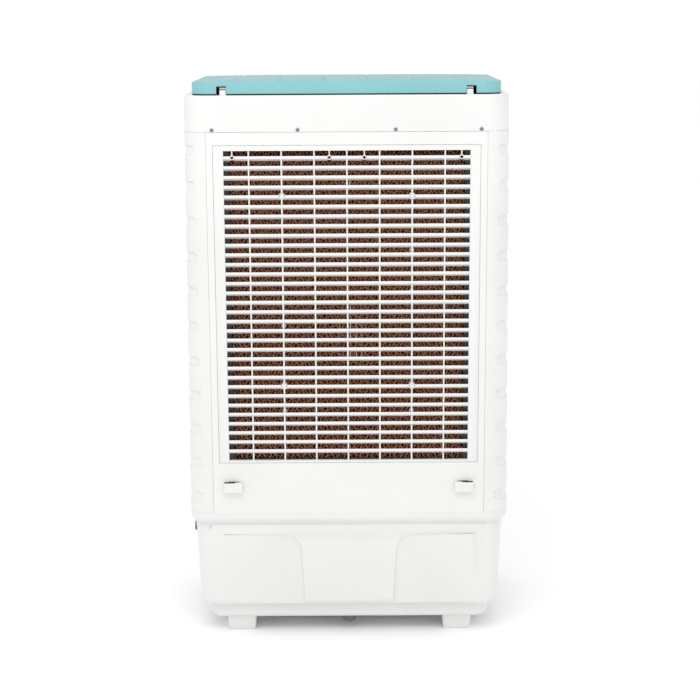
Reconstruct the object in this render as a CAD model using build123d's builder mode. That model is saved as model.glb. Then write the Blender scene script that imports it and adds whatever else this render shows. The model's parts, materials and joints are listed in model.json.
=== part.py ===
"""Evaporative room cooler: water tank, louvred rear pad, axial fan, swinging outlet and a hinged top lid.

Millimetres. +Z is up and the origin is on the floor under the middle of the cooler. The air outlet and the
controls face -Y. The louvred side, where the air enters through the wet pad, faces +Y. Left and right are
those of a person who stands in front of the outlet, so left is -X.
"""

import math
import os

from build123d import *

os.makedirs("parts", exist_ok=True)

# ---------------------------------------------------------------- driving dimensions
BODY_WIDTH = 666.0  # housing, outside, at its foot
BODY_DEPTH = 440.0  # housing, outside
SIDE_TAPER = 6.5  # each side leans in by this much over the housing's height
COVER_TAPER = 1.5  # and by this much more over the top cover's height
CORNER_R = 44.0
PROUD = 12.0  # how far the knobs and the rear latches stand out of the housing

FOOT_HEIGHT = 31.0
PLINTH_HEIGHT = 31.0
TANK_HEIGHT = 188.0  # leaning wall between the plinth and the lip
LIP_HEIGHT = 25.0
BODY_HEIGHT = 789.5
COVER_HEIGHT = 72.5

TANK_WALL = 4.0
BODY_WALL = 4.0
COVER_WALL = BODY_WALL
LID_WALL = 2.6
PANEL_WALL = 4.0

SEAM_GAP = 0.3  # between panels that meet flush
FIT_GAP = 0.5  # between pieces that drop into each other
RUNNING_GAP = 0.08  # radial, between a pin and the hole it turns in
SLIDE_GAP = 0.35  # between a sliding piece and its guide

PANEL_MARGIN = 52.0  # housing's side to the rear panel's edge
OPENING_MARGIN = 34.0  # rear panel's edge to the louvred opening
APRON = 113.0  # rear panel's foot to the opening
HEADER = 37.0  # opening to the rear panel's top
LOUVRE_COUNT = 32
LOUVRE_LIP = 5.2  # upright front edge of a louvre
LOUVRE_DROP = 5.8  # how far the blade falls on its way in
LOUVRE_THICKNESS = 2.2
TOP_SLOT = 10.5
BOTTOM_SLOT = 19.2
RIB_COUNT = 7
RIB_WIDTH = 3.0
EDGE_CELL = 50.5  # opening's side to the first rib
GRILLE_DEPTH = 10.5
FRAME_STEP = 1.5  # the grille's face lies this far behind the panel's
FRAME_BORDER = 21.0
FRAME_HEAD = 11.5
FRAME_FOOT = 4.8

PAD_THICKNESS = 80.0
PAD_SETBACK = 15.0  # grille's back to the pad
PAD_MARGIN = 10.0  # opening's side to the pad
CASSETTE_WALL = 14.0

FAN_RADIUS = 205.0
TIP_GAP = 8.0
FAN_BLADES = 5
HUB_RADIUS = 44.0
HUB_LENGTH = 50.0
SHAFT_RADIUS = 6.0
MOTOR_RADIUS = 60.0
MOTOR_LENGTH = 96.0

OUTLET_MARGIN = 46.0  # rear panel's half width less the outlet's
OUTLET_HEIGHT = 470.0
OUTLET_TOP_GAP = 84.0
BEZEL_WALL = 5.0
BEZEL_FLANGE = 22.0
BEZEL_PROUD = 2.5
DEFLECTOR_COUNT = 7
DEFLECTOR_CHORD = 50.0
VANE_COUNT = 6
VANE_CHORD = 32.0
VANE_ARM = 14.0  # vane pivot to its link pin
PIVOT_RADIUS = 3.0
LINK_PIN_RADIUS = 2.0

LID_INSET = 15.6  # deck's edge to the lid, at the sides
LID_SETBACK = 8.0  # the same at front and rear
LID_GAP = 2.5
LID_EDGE = 24.0  # height of the lid's rear edge
LID_CROWN = 5.5  # its middle above the rear edge
LID_FALL = 12.4  # its front edge below the middle
LID_ARCH = 6.6  # its sides below the middle
GROOVE_PITCH = 89.3
GROOVE_WIDTH = 4.0
GROOVE_DEPTH = 1.2
HINGE_HEIGHT = 13.0  # pin above the deck
HINGE_INSET = 6.0  # pin to the lid's rear face
HINGE_PIN_RADIUS = 3.2
LUG_X = 239.0
LUG_WIDTH = 13.0
LUG_HALF = 4.0
LUG_SADDLE = 3.0  # the open saddle's rim below the pin's axis
NOTCH_WIDTH = 19.0

# ---------------------------------------------------------------- levels and faces
PLINTH_Z = FOOT_HEIGHT
TANK_Z = PLINTH_Z + PLINTH_HEIGHT
LIP_Z = TANK_Z + TANK_HEIGHT
BODY_Z = LIP_Z + LIP_HEIGHT
COVER_Z = BODY_Z + BODY_HEIGHT
DECK_Z = COVER_Z + COVER_HEIGHT
REAR = BODY_DEPTH / 2
FRONT = -REAR
HALF_FOOT = BODY_WIDTH / 2
HALF_TOP = HALF_FOOT - SIDE_TAPER
HALF_DECK = HALF_TOP - COVER_TAPER
PANEL_HALF = HALF_FOOT - PANEL_MARGIN
BOTH_SIDES = (-1, 1)
LEFT_RIGHT = {"left": -1, "right": 1}


def save(piece, name):
    """Labels a finished piece and writes it as one node."""
    piece.part.label = name
    export_step(piece.part, f"parts/{name}.step")


def outline(half_x, half_y, radius, mode=Mode.ADD):
    """Rounded rectangle, centred, in the sketch in hand."""
    RectangleRounded(2 * half_x, 2 * half_y, radius, mode=mode)


def block(x, y, z, mode=Mode.ADD):
    """Box in the part in hand, between its limits along each axis."""
    with Locations(((x[0] + x[1]) / 2, (y[0] + y[1]) / 2, (z[0] + z[1]) / 2)):
        Box(abs(x[1] - x[0]), abs(y[1] - y[0]), abs(z[1] - z[0]), mode=mode)


def rod(start, direction, radius, length, mode=Mode.ADD):
    """Cylinder in the part in hand, from a point along a direction."""
    with Locations(Plane(origin=start, z_dir=direction)):
        Cylinder(radius, length, align=(Align.CENTER, Align.CENTER, Align.MIN), mode=mode)


def upright(y):
    """Plane whose sketch is seen from the front: local x is X, local y is Z. It faces -Y."""
    return Plane.XZ.offset(-y)


def tapered(z, low, high, radius, mode=Mode.ADD):
    """Solid between two levels, from one (half width, half depth) to another."""
    with BuildSketch(Plane.XY.offset(z[0])) as foot:
        outline(*low, radius)
    with BuildSketch(Plane.XY.offset(z[1])) as head:
        outline(*high, radius)
    loft([foot.sketch.face(), head.sketch.face()], ruled=True, mode=mode)


def side_half(z):
    """Half width of the housing's outside at a height."""
    return HALF_FOOT - SIDE_TAPER * (z - BODY_Z) / BODY_HEIGHT


def spread(count, pitch):
    """Centred positions, one pitch apart."""
    return [(i - (count - 1) / 2) * pitch for i in range(count)]


# ---------------------------------------------------------------- water tank
TANK_INSET = 9.5  # tank's wall below the lip, inside the housing's side
TANK_LEAN = 9.0
TANK_CORNER_R = 34.0
TANK_ROUND = 18.0  # rounded lower edge
PLINTH_INSET = 17.0
PLINTH_ROUND = 12.0
LIP_ROUND = 18.0
SHADOW_HEIGHT = 3.0  # groove under the lip
SHADOW_DEPTH = 1.0
RELIEF_DEPTH = 4.0  # the lower corners of front and rear lie this far behind the middle column
RELIEF_TOP = 25.0  # below the lip
RELIEF_HEAD_X = 101.0
RELIEF_FOOT_X = 92.5
RELIEF_END_X = 262.0
RELIEF_ROUND = 38.0

TANK_HALF = (HALF_FOOT - TANK_INSET, REAR - TANK_INSET)
TANK_FOOT = (TANK_HALF[0] - TANK_LEAN, TANK_HALF[1] - TANK_LEAN)
PLINTH = (TANK_FOOT[0] - PLINTH_INSET, TANK_FOOT[1] - PLINTH_INSET)
TANK_DRAFT = math.degrees(math.atan(TANK_LEAN / TANK_HEIGHT))
SHADOW_Z = LIP_Z - SHADOW_HEIGHT


def tank_inset(z):
    """How far the tank's wall has leaned in at a height."""
    return TANK_LEAN * (LIP_Z - z) / TANK_HEIGHT


def tank_side(z):
    return TANK_HALF[0] - tank_inset(z)


def tank_face(z):
    return TANK_HALF[1] - tank_inset(z)


def tank_form(wall):
    """Outer form of the tank below its lip, or with a wall taken off, its inside."""
    with BuildPart() as form:
        inward = wall - wall * TANK_LEAN / TANK_HEIGHT  # the wall leans out over its own thickness
        with BuildSketch(Plane.XY.offset(TANK_Z + wall)):
            outline(TANK_FOOT[0] - inward, TANK_FOOT[1] - inward, TANK_CORNER_R - wall)
        extrude(amount=TANK_HEIGHT - wall, taper=-TANK_DRAFT)
        fillet(form.edges().group_by(Axis.Z)[0], TANK_ROUND - wall)
        with BuildSketch(Plane.XY.offset(PLINTH_Z + wall)):
            outline(PLINTH[0] - wall, PLINTH[1] - wall, TANK_CORNER_R - wall)
        extrude(amount=PLINTH_HEIGHT + TANK_ROUND)
        fillet(form.edges().group_by(Axis.Z)[0], PLINTH_ROUND - wall)
    return form.part


tank_outside = tank_form(0.0)
tank_inside = tank_form(TANK_WALL)

with BuildPart() as tank_lip:
    with BuildSketch(Plane.XY.offset(LIP_Z)):
        outline(HALF_FOOT, REAR, CORNER_R)
    extrude(amount=LIP_HEIGHT)
    fillet(tank_lip.edges().group_by(Axis.Z)[0], LIP_ROUND)
    with BuildSketch(Plane.XY.offset(LIP_Z)):
        outline(*TANK_HALF, TANK_CORNER_R)
    extrude(amount=LIP_HEIGHT)

with BuildPart() as shadow_groove:
    with BuildSketch(Plane.XY.offset(SHADOW_Z)):
        outline(HALF_FOOT, REAR, CORNER_R)
        outline(TANK_HALF[0] - SHADOW_DEPTH, TANK_HALF[1] - SHADOW_DEPTH, TANK_CORNER_R, mode=Mode.SUBTRACT)
    extrude(amount=SHADOW_HEIGHT)

# Sunk field at one lower corner of the tank's rear: an outline seen from behind, cut to a wedge in plan
with BuildPart() as relief:
    with BuildSketch(upright(TANK_HALF[1] + RELIEF_DEPTH)):
        with BuildLine():
            FilletPolyline(
                (RELIEF_END_X, LIP_Z - RELIEF_TOP),
                (RELIEF_HEAD_X, LIP_Z - RELIEF_TOP),
                (RELIEF_FOOT_X, TANK_Z),
                radius=RELIEF_ROUND,
            )
            Polyline((RELIEF_FOOT_X, TANK_Z), (RELIEF_END_X, TANK_Z), (RELIEF_END_X, LIP_Z - RELIEF_TOP))
        make_face()
    extrude(amount=TANK_LEAN + 4 * RELIEF_DEPTH)
    wedges = []
    for wedge_z in (TANK_Z, LIP_Z - RELIEF_TOP):
        with BuildSketch(Plane.XY.offset(wedge_z)) as wedge:
            with BuildLine():
                Polyline(
                    (RELIEF_FOOT_X - 1, tank_face(wedge_z) - RELIEF_DEPTH),
                    (RELIEF_END_X + 1, tank_face(wedge_z)),
                    (RELIEF_END_X + 1, REAR),
                    (RELIEF_FOOT_X - 1, REAR),
                    close=True,
                )
            make_face()
        wedges.append(wedge.sketch.face())
    loft(wedges, ruled=True, mode=Mode.INTERSECT)

INLET_Y = 90.0
INLET_Z = LIP_Z - 42.0
INLET_RADIUS = 10.48  # half-inch pipe thread
INLET_NECK = 8.0
INLET_BORE = 5.0
DRAIN_Y = PLINTH[1] - 30.0
DRAIN_RADIUS = 9.0
LEVEL_X = 170.0
LEVEL_SIZE = (24.0, 110.0)
LEVEL_Z = TANK_Z + 92.0
LEVEL_FLANGE = 4.0
level_plane = Plane(
    origin=(LEVEL_X, -tank_face(LEVEL_Z), LEVEL_Z),
    x_dir=(1, 0, 0),
    z_dir=(0, -TANK_HEIGHT, -TANK_LEAN),
)

with BuildPart() as water_tank:
    add(tank_outside)
    add(tank_lip.part)
    add(shadow_groove.part, mode=Mode.SUBTRACT)
    for side in BOTH_SIDES:
        for end in BOTH_SIDES:
            corner = relief.part if side > 0 else relief.part.mirror(Plane.YZ)
            add(corner if end > 0 else corner.mirror(Plane.XZ), mode=Mode.SUBTRACT)
    add(tank_inside, mode=Mode.SUBTRACT)
    with BuildSketch(Plane.XY.offset(LIP_Z - TANK_WALL)):
        outline(TANK_HALF[0] - TANK_WALL, TANK_HALF[1] - TANK_WALL, TANK_CORNER_R)
    extrude(amount=LIP_HEIGHT + 2 * TANK_WALL, mode=Mode.SUBTRACT)
    rod((tank_side(INLET_Z) + 10, INLET_Y, INLET_Z), (-1, 0, 0), INLET_NECK + RUNNING_GAP, 30, Mode.SUBTRACT)
    rod((0, DRAIN_Y, PLINTH_Z - 1), (0, 0, 1), DRAIN_RADIUS + RUNNING_GAP, TANK_WALL + 2, Mode.SUBTRACT)
    with BuildSketch(level_plane):
        Rectangle(LEVEL_SIZE[0] + 2 * FIT_GAP, LEVEL_SIZE[1] + 2 * FIT_GAP)
    extrude(amount=10, both=True, mode=Mode.SUBTRACT)
save(water_tank, "water_tank")

with BuildPart() as level_window:
    with BuildSketch(level_plane):
        Rectangle(*LEVEL_SIZE)
    extrude(amount=-TANK_WALL)
    with BuildSketch(level_plane.offset(-TANK_WALL)):
        Rectangle(LEVEL_SIZE[0] + 4 * LEVEL_FLANGE, LEVEL_SIZE[1] + 4 * LEVEL_FLANGE)
    extrude(amount=-LEVEL_FLANGE / 2)
    with BuildSketch(level_plane):
        Rectangle(LEVEL_SIZE[0] - LEVEL_FLANGE, LEVEL_SIZE[1] - LEVEL_FLANGE)
    extrude(amount=-TANK_WALL / 2, mode=Mode.SUBTRACT)
save(level_window, "level_window")

# ---------------------------------------------------------------- feet and drain
FOOT_X = 230.0
FOOT_INSET = 10.0  # plinth's face to the foot's
FOOT_LENGTH = 64.0
FOOT_WIDTH = 62.0
FOOT_DRAFT = 2.5
FOOT_CORNER = 5.0
for end_name, end in {"front": -1, "rear": 1}.items():
    for side_name, side in LEFT_RIGHT.items():
        with BuildPart() as foot:
            foot_y = end * (PLINTH[1] - FOOT_INSET - FOOT_LENGTH / 2)
            rims = []
            for rim_z, shrink in ((0.0, FOOT_DRAFT), (FOOT_HEIGHT, 0.0)):
                with BuildSketch(Plane.XY.offset(rim_z)) as rim:
                    with Locations((side * FOOT_X, foot_y)):
                        RectangleRounded(FOOT_WIDTH - 2 * shrink, FOOT_LENGTH - 2 * shrink, FOOT_CORNER)
                rims.append(rim.sketch.face())
            loft(rims, ruled=True)
        save(foot, f"foot_{end_name}_{side_name}")

CAP_RADIUS = 14.0
CAP_BOTTOM = 14.0
CAP_BEVEL = (5.0, 6.0)
CAP_TIP = (2.0, 4.0)  # point of the plug, above the tank's floor
with BuildPart() as drain_cap:
    with BuildSketch(Plane.XZ):
        with BuildLine():
            Polyline(
                (0, CAP_BOTTOM),
                (CAP_RADIUS - CAP_BEVEL[0], CAP_BOTTOM),
                (CAP_RADIUS, CAP_BOTTOM + CAP_BEVEL[1]),
                (CAP_RADIUS, PLINTH_Z),
                (DRAIN_RADIUS, PLINTH_Z),
                (DRAIN_RADIUS, PLINTH_Z + TANK_WALL),
                (DRAIN_RADIUS - CAP_TIP[0], PLINTH_Z + TANK_WALL + CAP_TIP[1]),
                (0, PLINTH_Z + TANK_WALL + CAP_TIP[1]),
                close=True,
            )
        make_face()
    revolve(axis=Axis.Z)
drain_cap.part = drain_cap.part.moved(Location((0, DRAIN_Y, 0)))
save(drain_cap, "drain_cap")

# ---------------------------------------------------------------- water inlet and float valve
NUT_RADIUS = 15.0
NUT_THICKNESS = 6.0
THREAD_CHAMFER = 1.2
VALVE_LENGTH = 34.0
VALVE_RADIUS = 9.0
CHEEK_GAP = 8.0
CHEEK_WALL = 3.0
CHEEK_ROOT = 4.0  # how far the cheeks reach along the valve
ARM_EYE = 5.0
ARM_RADIUS = 1.8
FLOAT_PIN_RADIUS = 2.0
ARM_LENGTH = 112.0
ARM_HANG = 38.0  # degrees below level, with the tank empty
BALL_RADIUS = 30.0
shoulder_x = tank_side(INLET_Z + INLET_RADIUS)
nut_x = tank_side(INLET_Z - NUT_RADIUS) - TANK_WALL
valve_x = nut_x - NUT_THICKNESS
float_pivot = Vector(valve_x - VALVE_LENGTH - ARM_EYE, INLET_Y, INLET_Z)
arm_direction = Vector(-math.cos(math.radians(ARM_HANG)), 0, -math.sin(math.radians(ARM_HANG)))

with BuildPart() as inlet_nipple:
    rod((shoulder_x, INLET_Y, INLET_Z), (1, 0, 0), INLET_RADIUS, HALF_FOOT - shoulder_x)
    chamfer(inlet_nipple.edges().group_by(Axis.X)[-1], THREAD_CHAMFER)
    rod((valve_x, INLET_Y, INLET_Z), (1, 0, 0), INLET_NECK, shoulder_x - valve_x)
    rod((valve_x, INLET_Y, INLET_Z), (1, 0, 0), INLET_BORE, HALF_FOOT - valve_x, Mode.SUBTRACT)
save(inlet_nipple, "inlet_nipple")

with BuildPart() as inlet_nut:
    with BuildSketch(Plane(origin=(nut_x, INLET_Y, INLET_Z), z_dir=(-1, 0, 0))):
        RegularPolygon(NUT_RADIUS, 6)
        Circle(INLET_NECK + RUNNING_GAP, mode=Mode.SUBTRACT)
    extrude(amount=NUT_THICKNESS)
save(inlet_nut, "inlet_nut")

with BuildPart() as float_valve:
    rod((valve_x, INLET_Y, INLET_Z), (-1, 0, 0), VALVE_RADIUS, VALVE_LENGTH)
    rod((valve_x, INLET_Y, INLET_Z), (-1, 0, 0), INLET_BORE, VALVE_LENGTH / 2, Mode.SUBTRACT)
    for side in BOTH_SIDES:
        cheek = sorted((INLET_Y + side * CHEEK_GAP / 2, INLET_Y + side * (CHEEK_GAP / 2 + CHEEK_WALL)))
        block(
            (float_pivot.X - ARM_EYE, valve_x - VALVE_LENGTH + CHEEK_ROOT),
            cheek,
            (INLET_Z - ARM_EYE, INLET_Z + ARM_EYE),
        )
    half_pin = CHEEK_GAP / 2 + CHEEK_WALL
    rod(float_pivot - (0, half_pin, 0), (0, 1, 0), FLOAT_PIN_RADIUS, 2 * half_pin)
save(float_valve, "float_valve")

with BuildPart() as float_arm:
    half_eye = CHEEK_GAP / 2 - FIT_GAP
    eye_start = float_pivot - (0, half_eye, 0)
    rod(eye_start, (0, 1, 0), ARM_EYE - FIT_GAP, 2 * half_eye)
    rod(float_pivot, arm_direction, ARM_RADIUS, ARM_LENGTH)
    rod(eye_start, (0, 1, 0), FLOAT_PIN_RADIUS + RUNNING_GAP, 2 * half_eye, Mode.SUBTRACT)
save(float_arm, "float_arm")

with BuildPart() as float_ball:
    with Locations(float_pivot + arm_direction * (ARM_LENGTH + BALL_RADIUS)):
        Sphere(BALL_RADIUS)
save(float_ball, "float_ball")

# ---------------------------------------------------------------- housing
SIDE_GROOVES = 11
SIDE_GROOVE_HEIGHT = 21.0
SIDE_GROOVE_DEPTH = 2.4
SIDE_GROOVE_ROUND = 7.0
SIDE_GROOVE_TOP = 26.8  # below the housing's top
SIDE_GROOVE_FOOT = 24.7  # above its foot
SIDE_GROOVE_END = 305.0  # the grooves wrap the corners as far as this, from the middle
PANEL_SHELF = 6.0  # strip behind the rear panel's edge
SHELF_THICKNESS = 3.0
TAB_REACH = 20.0  # kept free at the shelf's top for the panel's screw tabs

OUTLET_HALF = PANEL_HALF - OUTLET_MARGIN
OUTLET_TOP = COVER_Z - OUTLET_TOP_GAP
OUTLET_BOTTOM = OUTLET_TOP - OUTLET_HEIGHT
OUTLET_Z = (OUTLET_TOP + OUTLET_BOTTOM) / 2
GLAND_Y = -150.0
GLAND_BORE = 4.0
GLAND_NECK = 9.0
GLAND_FLANGE = 12.5
GLAND_LENGTH = 18.0
GLAND_SINK = 1.2  # the flange lies flush in the wall
GLAND_NUT = (14.0, 5.0)  # corner radius and thickness
groove_pitch = (BODY_HEIGHT - SIDE_GROOVE_TOP - SIDE_GROOVE_FOOT - SIDE_GROOVE_HEIGHT) / (SIDE_GROOVES - 1)
GLAND_Z = BODY_Z + SIDE_GROOVE_FOOT + (groove_pitch + SIDE_GROOVE_HEIGHT) / 2
gland_x = -side_half(GLAND_Z)

with BuildPart() as side_grooves:
    for i in range(SIDE_GROOVES):
        groove_z = BODY_Z + SIDE_GROOVE_FOOT + i * groove_pitch
        with BuildSketch(Plane.XY.offset(groove_z)):
            Rectangle(BODY_WIDTH + 20, BODY_DEPTH + 20)
            outline(
                side_half(groove_z) - SIDE_GROOVE_DEPTH,
                REAR - SIDE_GROOVE_DEPTH,
                CORNER_R - SIDE_GROOVE_DEPTH,
                mode=Mode.SUBTRACT,
            )
            Rectangle(2 * SIDE_GROOVE_END, BODY_DEPTH + 20, mode=Mode.SUBTRACT)
        extrude(amount=SIDE_GROOVE_HEIGHT)
    along_y = side_grooves.edges().filter_by(Axis.Y)
    fillet(along_y.filter_by(lambda edge: abs(edge.center().X) < SIDE_GROOVE_END + 1), SIDE_GROOVE_ROUND)

with BuildPart() as body_housing:
    tapered((BODY_Z, COVER_Z), (HALF_FOOT, REAR), (HALF_TOP, REAR), CORNER_R)
    tapered(
        (BODY_Z, COVER_Z),
        (HALF_FOOT - BODY_WALL, REAR - BODY_WALL),
        (HALF_TOP - BODY_WALL, REAR - BODY_WALL),
        CORNER_R - BODY_WALL,
        mode=Mode.SUBTRACT,
    )
    block(
        (-PANEL_HALF - SEAM_GAP, PANEL_HALF + SEAM_GAP),
        (REAR - 2 * BODY_WALL, REAR + 1),
        (BODY_Z - 1, COVER_Z + 1),
        Mode.SUBTRACT,
    )
    for side in BOTH_SIDES:
        block(
            sorted((side * (PANEL_HALF - PANEL_SHELF), side * (PANEL_HALF + 2 * PANEL_SHELF))),
            (REAR - PANEL_WALL - SHELF_THICKNESS, REAR - PANEL_WALL),
            (BODY_Z, COVER_Z - TAB_REACH),
        )
    block(
        (-OUTLET_HALF, OUTLET_HALF),
        (FRONT - 1, FRONT + BODY_WALL + 1),
        (OUTLET_BOTTOM, OUTLET_TOP),
        Mode.SUBTRACT,
    )
    add(side_grooves.part, mode=Mode.SUBTRACT)
    rod((gland_x - 10, GLAND_Y, GLAND_Z), (1, 0, 0), GLAND_NECK + RUNNING_GAP, 30, Mode.SUBTRACT)
    rod((gland_x - 10, GLAND_Y, GLAND_Z), (1, 0, 0), GLAND_FLANGE + SEAM_GAP, 10 + GLAND_SINK, Mode.SUBTRACT)
save(body_housing, "body_housing")

with BuildPart() as cable_gland:
    rod((gland_x, GLAND_Y, GLAND_Z), (1, 0, 0), GLAND_FLANGE, GLAND_SINK)
    rod((gland_x, GLAND_Y, GLAND_Z), (1, 0, 0), GLAND_NECK, GLAND_LENGTH)
    rod((gland_x, GLAND_Y, GLAND_Z), (1, 0, 0), GLAND_BORE, GLAND_LENGTH, Mode.SUBTRACT)
save(cable_gland, "cable_gland")

with BuildPart() as gland_nut:
    with BuildSketch(Plane(origin=(gland_x + BODY_WALL + SEAM_GAP, GLAND_Y, GLAND_Z), z_dir=(1, 0, 0))):
        RegularPolygon(GLAND_NUT[0], 6)
        Circle(GLAND_NECK + RUNNING_GAP, mode=Mode.SUBTRACT)
    extrude(amount=GLAND_NUT[1])
save(gland_nut, "gland_nut")

# ---------------------------------------------------------------- rear panel
OPENING_HALF = PANEL_HALF - OPENING_MARGIN
OPENING_BOTTOM = BODY_Z + APRON
OPENING_TOP = COVER_Z - HEADER
FRAME_HALF = OPENING_HALF + FRAME_BORDER
FRAME_Z = (OPENING_BOTTOM - FRAME_FOOT, OPENING_TOP + FRAME_HEAD)
PANEL_BACK = REAR - PANEL_WALL
GRILLE_FACE = REAR - FRAME_STEP
GRILLE_BACK = GRILLE_FACE - GRILLE_DEPTH

SCREW_Z = COVER_Z + 4.7
SCREW_XS = (97.5, PANEL_HALF - 13.0)
SCREW_SLACK = 0.1
SCREW_RADIUS = 2.0
SCREW_HEAD = 4.0
TAB_HALF = 10.0

LATCH_X = 239.0
LATCH_SIZE = (38.5, 22.0)
LATCH_Z = BODY_Z + 57.0
LATCH_TRAVEL = 8.0
LATCH_NECK = (20.0, 7.0)
LATCH_PLATE = (30.0, 13.0, 3.0)
LATCH_SLOT = (21.0, 8.0)  # finger pocket, open at the top
LATCH_RIM = 2.0
LATCH_ROUND = 3.0

with BuildPart() as rear_panel:
    block((-PANEL_HALF, PANEL_HALF), (PANEL_BACK, REAR), (BODY_Z, COVER_Z - SEAM_GAP))
    block((-FRAME_HALF, FRAME_HALF), (PANEL_BACK - 1, REAR + 1), FRAME_Z, Mode.SUBTRACT)
    for side in BOTH_SIDES:
        for screw_x in SCREW_XS:
            block(
                (side * screw_x - TAB_HALF, side * screw_x + TAB_HALF),
                (PANEL_BACK - PANEL_WALL, PANEL_BACK),
                (COVER_Z - TAB_REACH / 2, SCREW_Z + TAB_HALF),
            )
            rod((side * screw_x, REAR, SCREW_Z), (0, -1, 0), SCREW_RADIUS, 2 * PANEL_WALL + 1, Mode.SUBTRACT)
        block(
            (side * LATCH_X - LATCH_NECK[0] / 2 - SLIDE_GAP, side * LATCH_X + LATCH_NECK[0] / 2 + SLIDE_GAP),
            (PANEL_BACK - 1, REAR + 1),
            (LATCH_Z - LATCH_NECK[1] / 2 - SLIDE_GAP, LATCH_Z + LATCH_NECK[1] / 2 + LATCH_TRAVEL + SLIDE_GAP),
            Mode.SUBTRACT,
        )
save(rear_panel, "rear_panel")

for side_name, side in LEFT_RIGHT.items():
    with BuildPart() as rear_latch:
        latch_x = side * LATCH_X
        block(
            (latch_x - LATCH_SIZE[0] / 2, latch_x + LATCH_SIZE[0] / 2),
            (REAR + SLIDE_GAP, REAR + PROUD),
            (LATCH_Z - LATCH_SIZE[1] / 2, LATCH_Z + LATCH_SIZE[1] / 2),
        )
        fillet(rear_latch.edges().filter_by(Axis.X).group_by(Axis.Y)[-1], LATCH_ROUND)
        slot_x = latch_x + side * ((LATCH_SIZE[0] - LATCH_SLOT[0]) / 2 - LATCH_RIM / 2)
        block(
            (slot_x - LATCH_SLOT[0] / 2, slot_x + LATCH_SLOT[0] / 2),
            (REAR + PROUD - LATCH_RIM - LATCH_SLOT[1], REAR + PROUD - LATCH_RIM),
            (LATCH_Z - LATCH_SIZE[1] / 2 + LATCH_RIM, LATCH_Z + LATCH_SIZE[1]),
            Mode.SUBTRACT,
        )
        block(
            (latch_x - LATCH_NECK[0] / 2, latch_x + LATCH_NECK[0] / 2),
            (PANEL_BACK - SLIDE_GAP, REAR + SLIDE_GAP),
            (LATCH_Z - LATCH_NECK[1] / 2, LATCH_Z + LATCH_NECK[1] / 2),
        )
        block(
            (latch_x - LATCH_PLATE[0] / 2, latch_x + LATCH_PLATE[0] / 2),
            (PANEL_BACK - SLIDE_GAP - LATCH_PLATE[2], PANEL_BACK - SLIDE_GAP),
            (LATCH_Z - LATCH_PLATE[1] / 2, LATCH_Z + LATCH_PLATE[1] / 2),
        )
    save(rear_latch, f"rear_latch_{side_name}")

# ---------------------------------------------------------------- rear grille
LOUVRE_TOP = OPENING_TOP - TOP_SLOT
LOUVRE_PITCH = (LOUVRE_TOP - LOUVRE_LIP - OPENING_BOTTOM - BOTTOM_SLOT) / (LOUVRE_COUNT - 1)
RIB_PITCH = (2 * OPENING_HALF - 2 * EDGE_CELL) / (RIB_COUNT - 1)
BACK_FLANGE = (4.0, 3.0)  # reach behind the panel's edge, and thickness
EYELET_XS = (35.0, OPENING_HALF - 17.7)
EYELET_Z = OPENING_TOP - 13.6
EYELET_RADIUS = 4.8
EYELET_BORE = 3.0
EYELET_STEM = 2.5  # width and depth
BOSS_X = 2 * RIB_PITCH
BOSS_ZS = (OPENING_BOTTOM + 157.7, OPENING_TOP - 91.5)
BOSS_RADIUS = 6.25
BOSS_SINK = 3.0  # counterbore for the screw's head

with BuildPart() as rear_grille:
    block(
        (-FRAME_HALF + SEAM_GAP, FRAME_HALF - SEAM_GAP),
        (GRILLE_BACK, GRILLE_FACE),
        (FRAME_Z[0] + SEAM_GAP, FRAME_Z[1] - SEAM_GAP),
    )
    block(
        (-FRAME_HALF - BACK_FLANGE[0], FRAME_HALF + BACK_FLANGE[0]),
        (PANEL_BACK - BACK_FLANGE[1], PANEL_BACK),
        (FRAME_Z[0] - BACK_FLANGE[0], FRAME_Z[1] + BACK_FLANGE[0]),
    )
    block(
        (-OPENING_HALF, OPENING_HALF),
        (GRILLE_BACK - 1, GRILLE_FACE + 1),
        (OPENING_BOTTOM, OPENING_TOP),
        Mode.SUBTRACT,
    )
    with BuildSketch(Plane.YZ.offset(-OPENING_HALF)):
        for i in range(LOUVRE_COUNT):
            top = LOUVRE_TOP - i * LOUVRE_PITCH
            with BuildLine():
                Polyline(
                    (GRILLE_FACE, top),
                    (GRILLE_FACE, top - LOUVRE_LIP),
                    (GRILLE_BACK, top - LOUVRE_LIP - LOUVRE_DROP),
                    (GRILLE_BACK, top - LOUVRE_LIP - LOUVRE_DROP + LOUVRE_THICKNESS),
                    (GRILLE_FACE - LOUVRE_THICKNESS, top),
                    close=True,
                )
            make_face()
    extrude(amount=2 * OPENING_HALF)
    for rib_x in spread(RIB_COUNT, RIB_PITCH):
        block(
            (rib_x - RIB_WIDTH / 2, rib_x + RIB_WIDTH / 2),
            (GRILLE_BACK, GRILLE_FACE - LOUVRE_THICKNESS),
            (OPENING_BOTTOM, OPENING_TOP),
        )
    for side in BOTH_SIDES:
        for eyelet_x in EYELET_XS:
            block(
                (side * eyelet_x - EYELET_STEM / 2, side * eyelet_x + EYELET_STEM / 2),
                (GRILLE_FACE - EYELET_STEM, GRILLE_FACE),
                (EYELET_Z, OPENING_TOP),
            )
            rod((side * eyelet_x, GRILLE_FACE, EYELET_Z), (0, -1, 0), EYELET_RADIUS, EYELET_STEM)
            rod((side * eyelet_x, GRILLE_FACE, EYELET_Z), (0, -1, 0), EYELET_BORE, EYELET_STEM, Mode.SUBTRACT)
        for boss_z in BOSS_ZS:
            rod((side * BOSS_X, GRILLE_FACE, boss_z), (0, -1, 0), BOSS_RADIUS, GRILLE_DEPTH)
            rod((side * BOSS_X, GRILLE_FACE, boss_z), (0, -1, 0), SCREW_HEAD, BOSS_SINK, Mode.SUBTRACT)
            rod((side * BOSS_X, GRILLE_FACE, boss_z), (0, -1, 0), SCREW_RADIUS, GRILLE_DEPTH, Mode.SUBTRACT)
save(rear_grille, "rear_grille")

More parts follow.
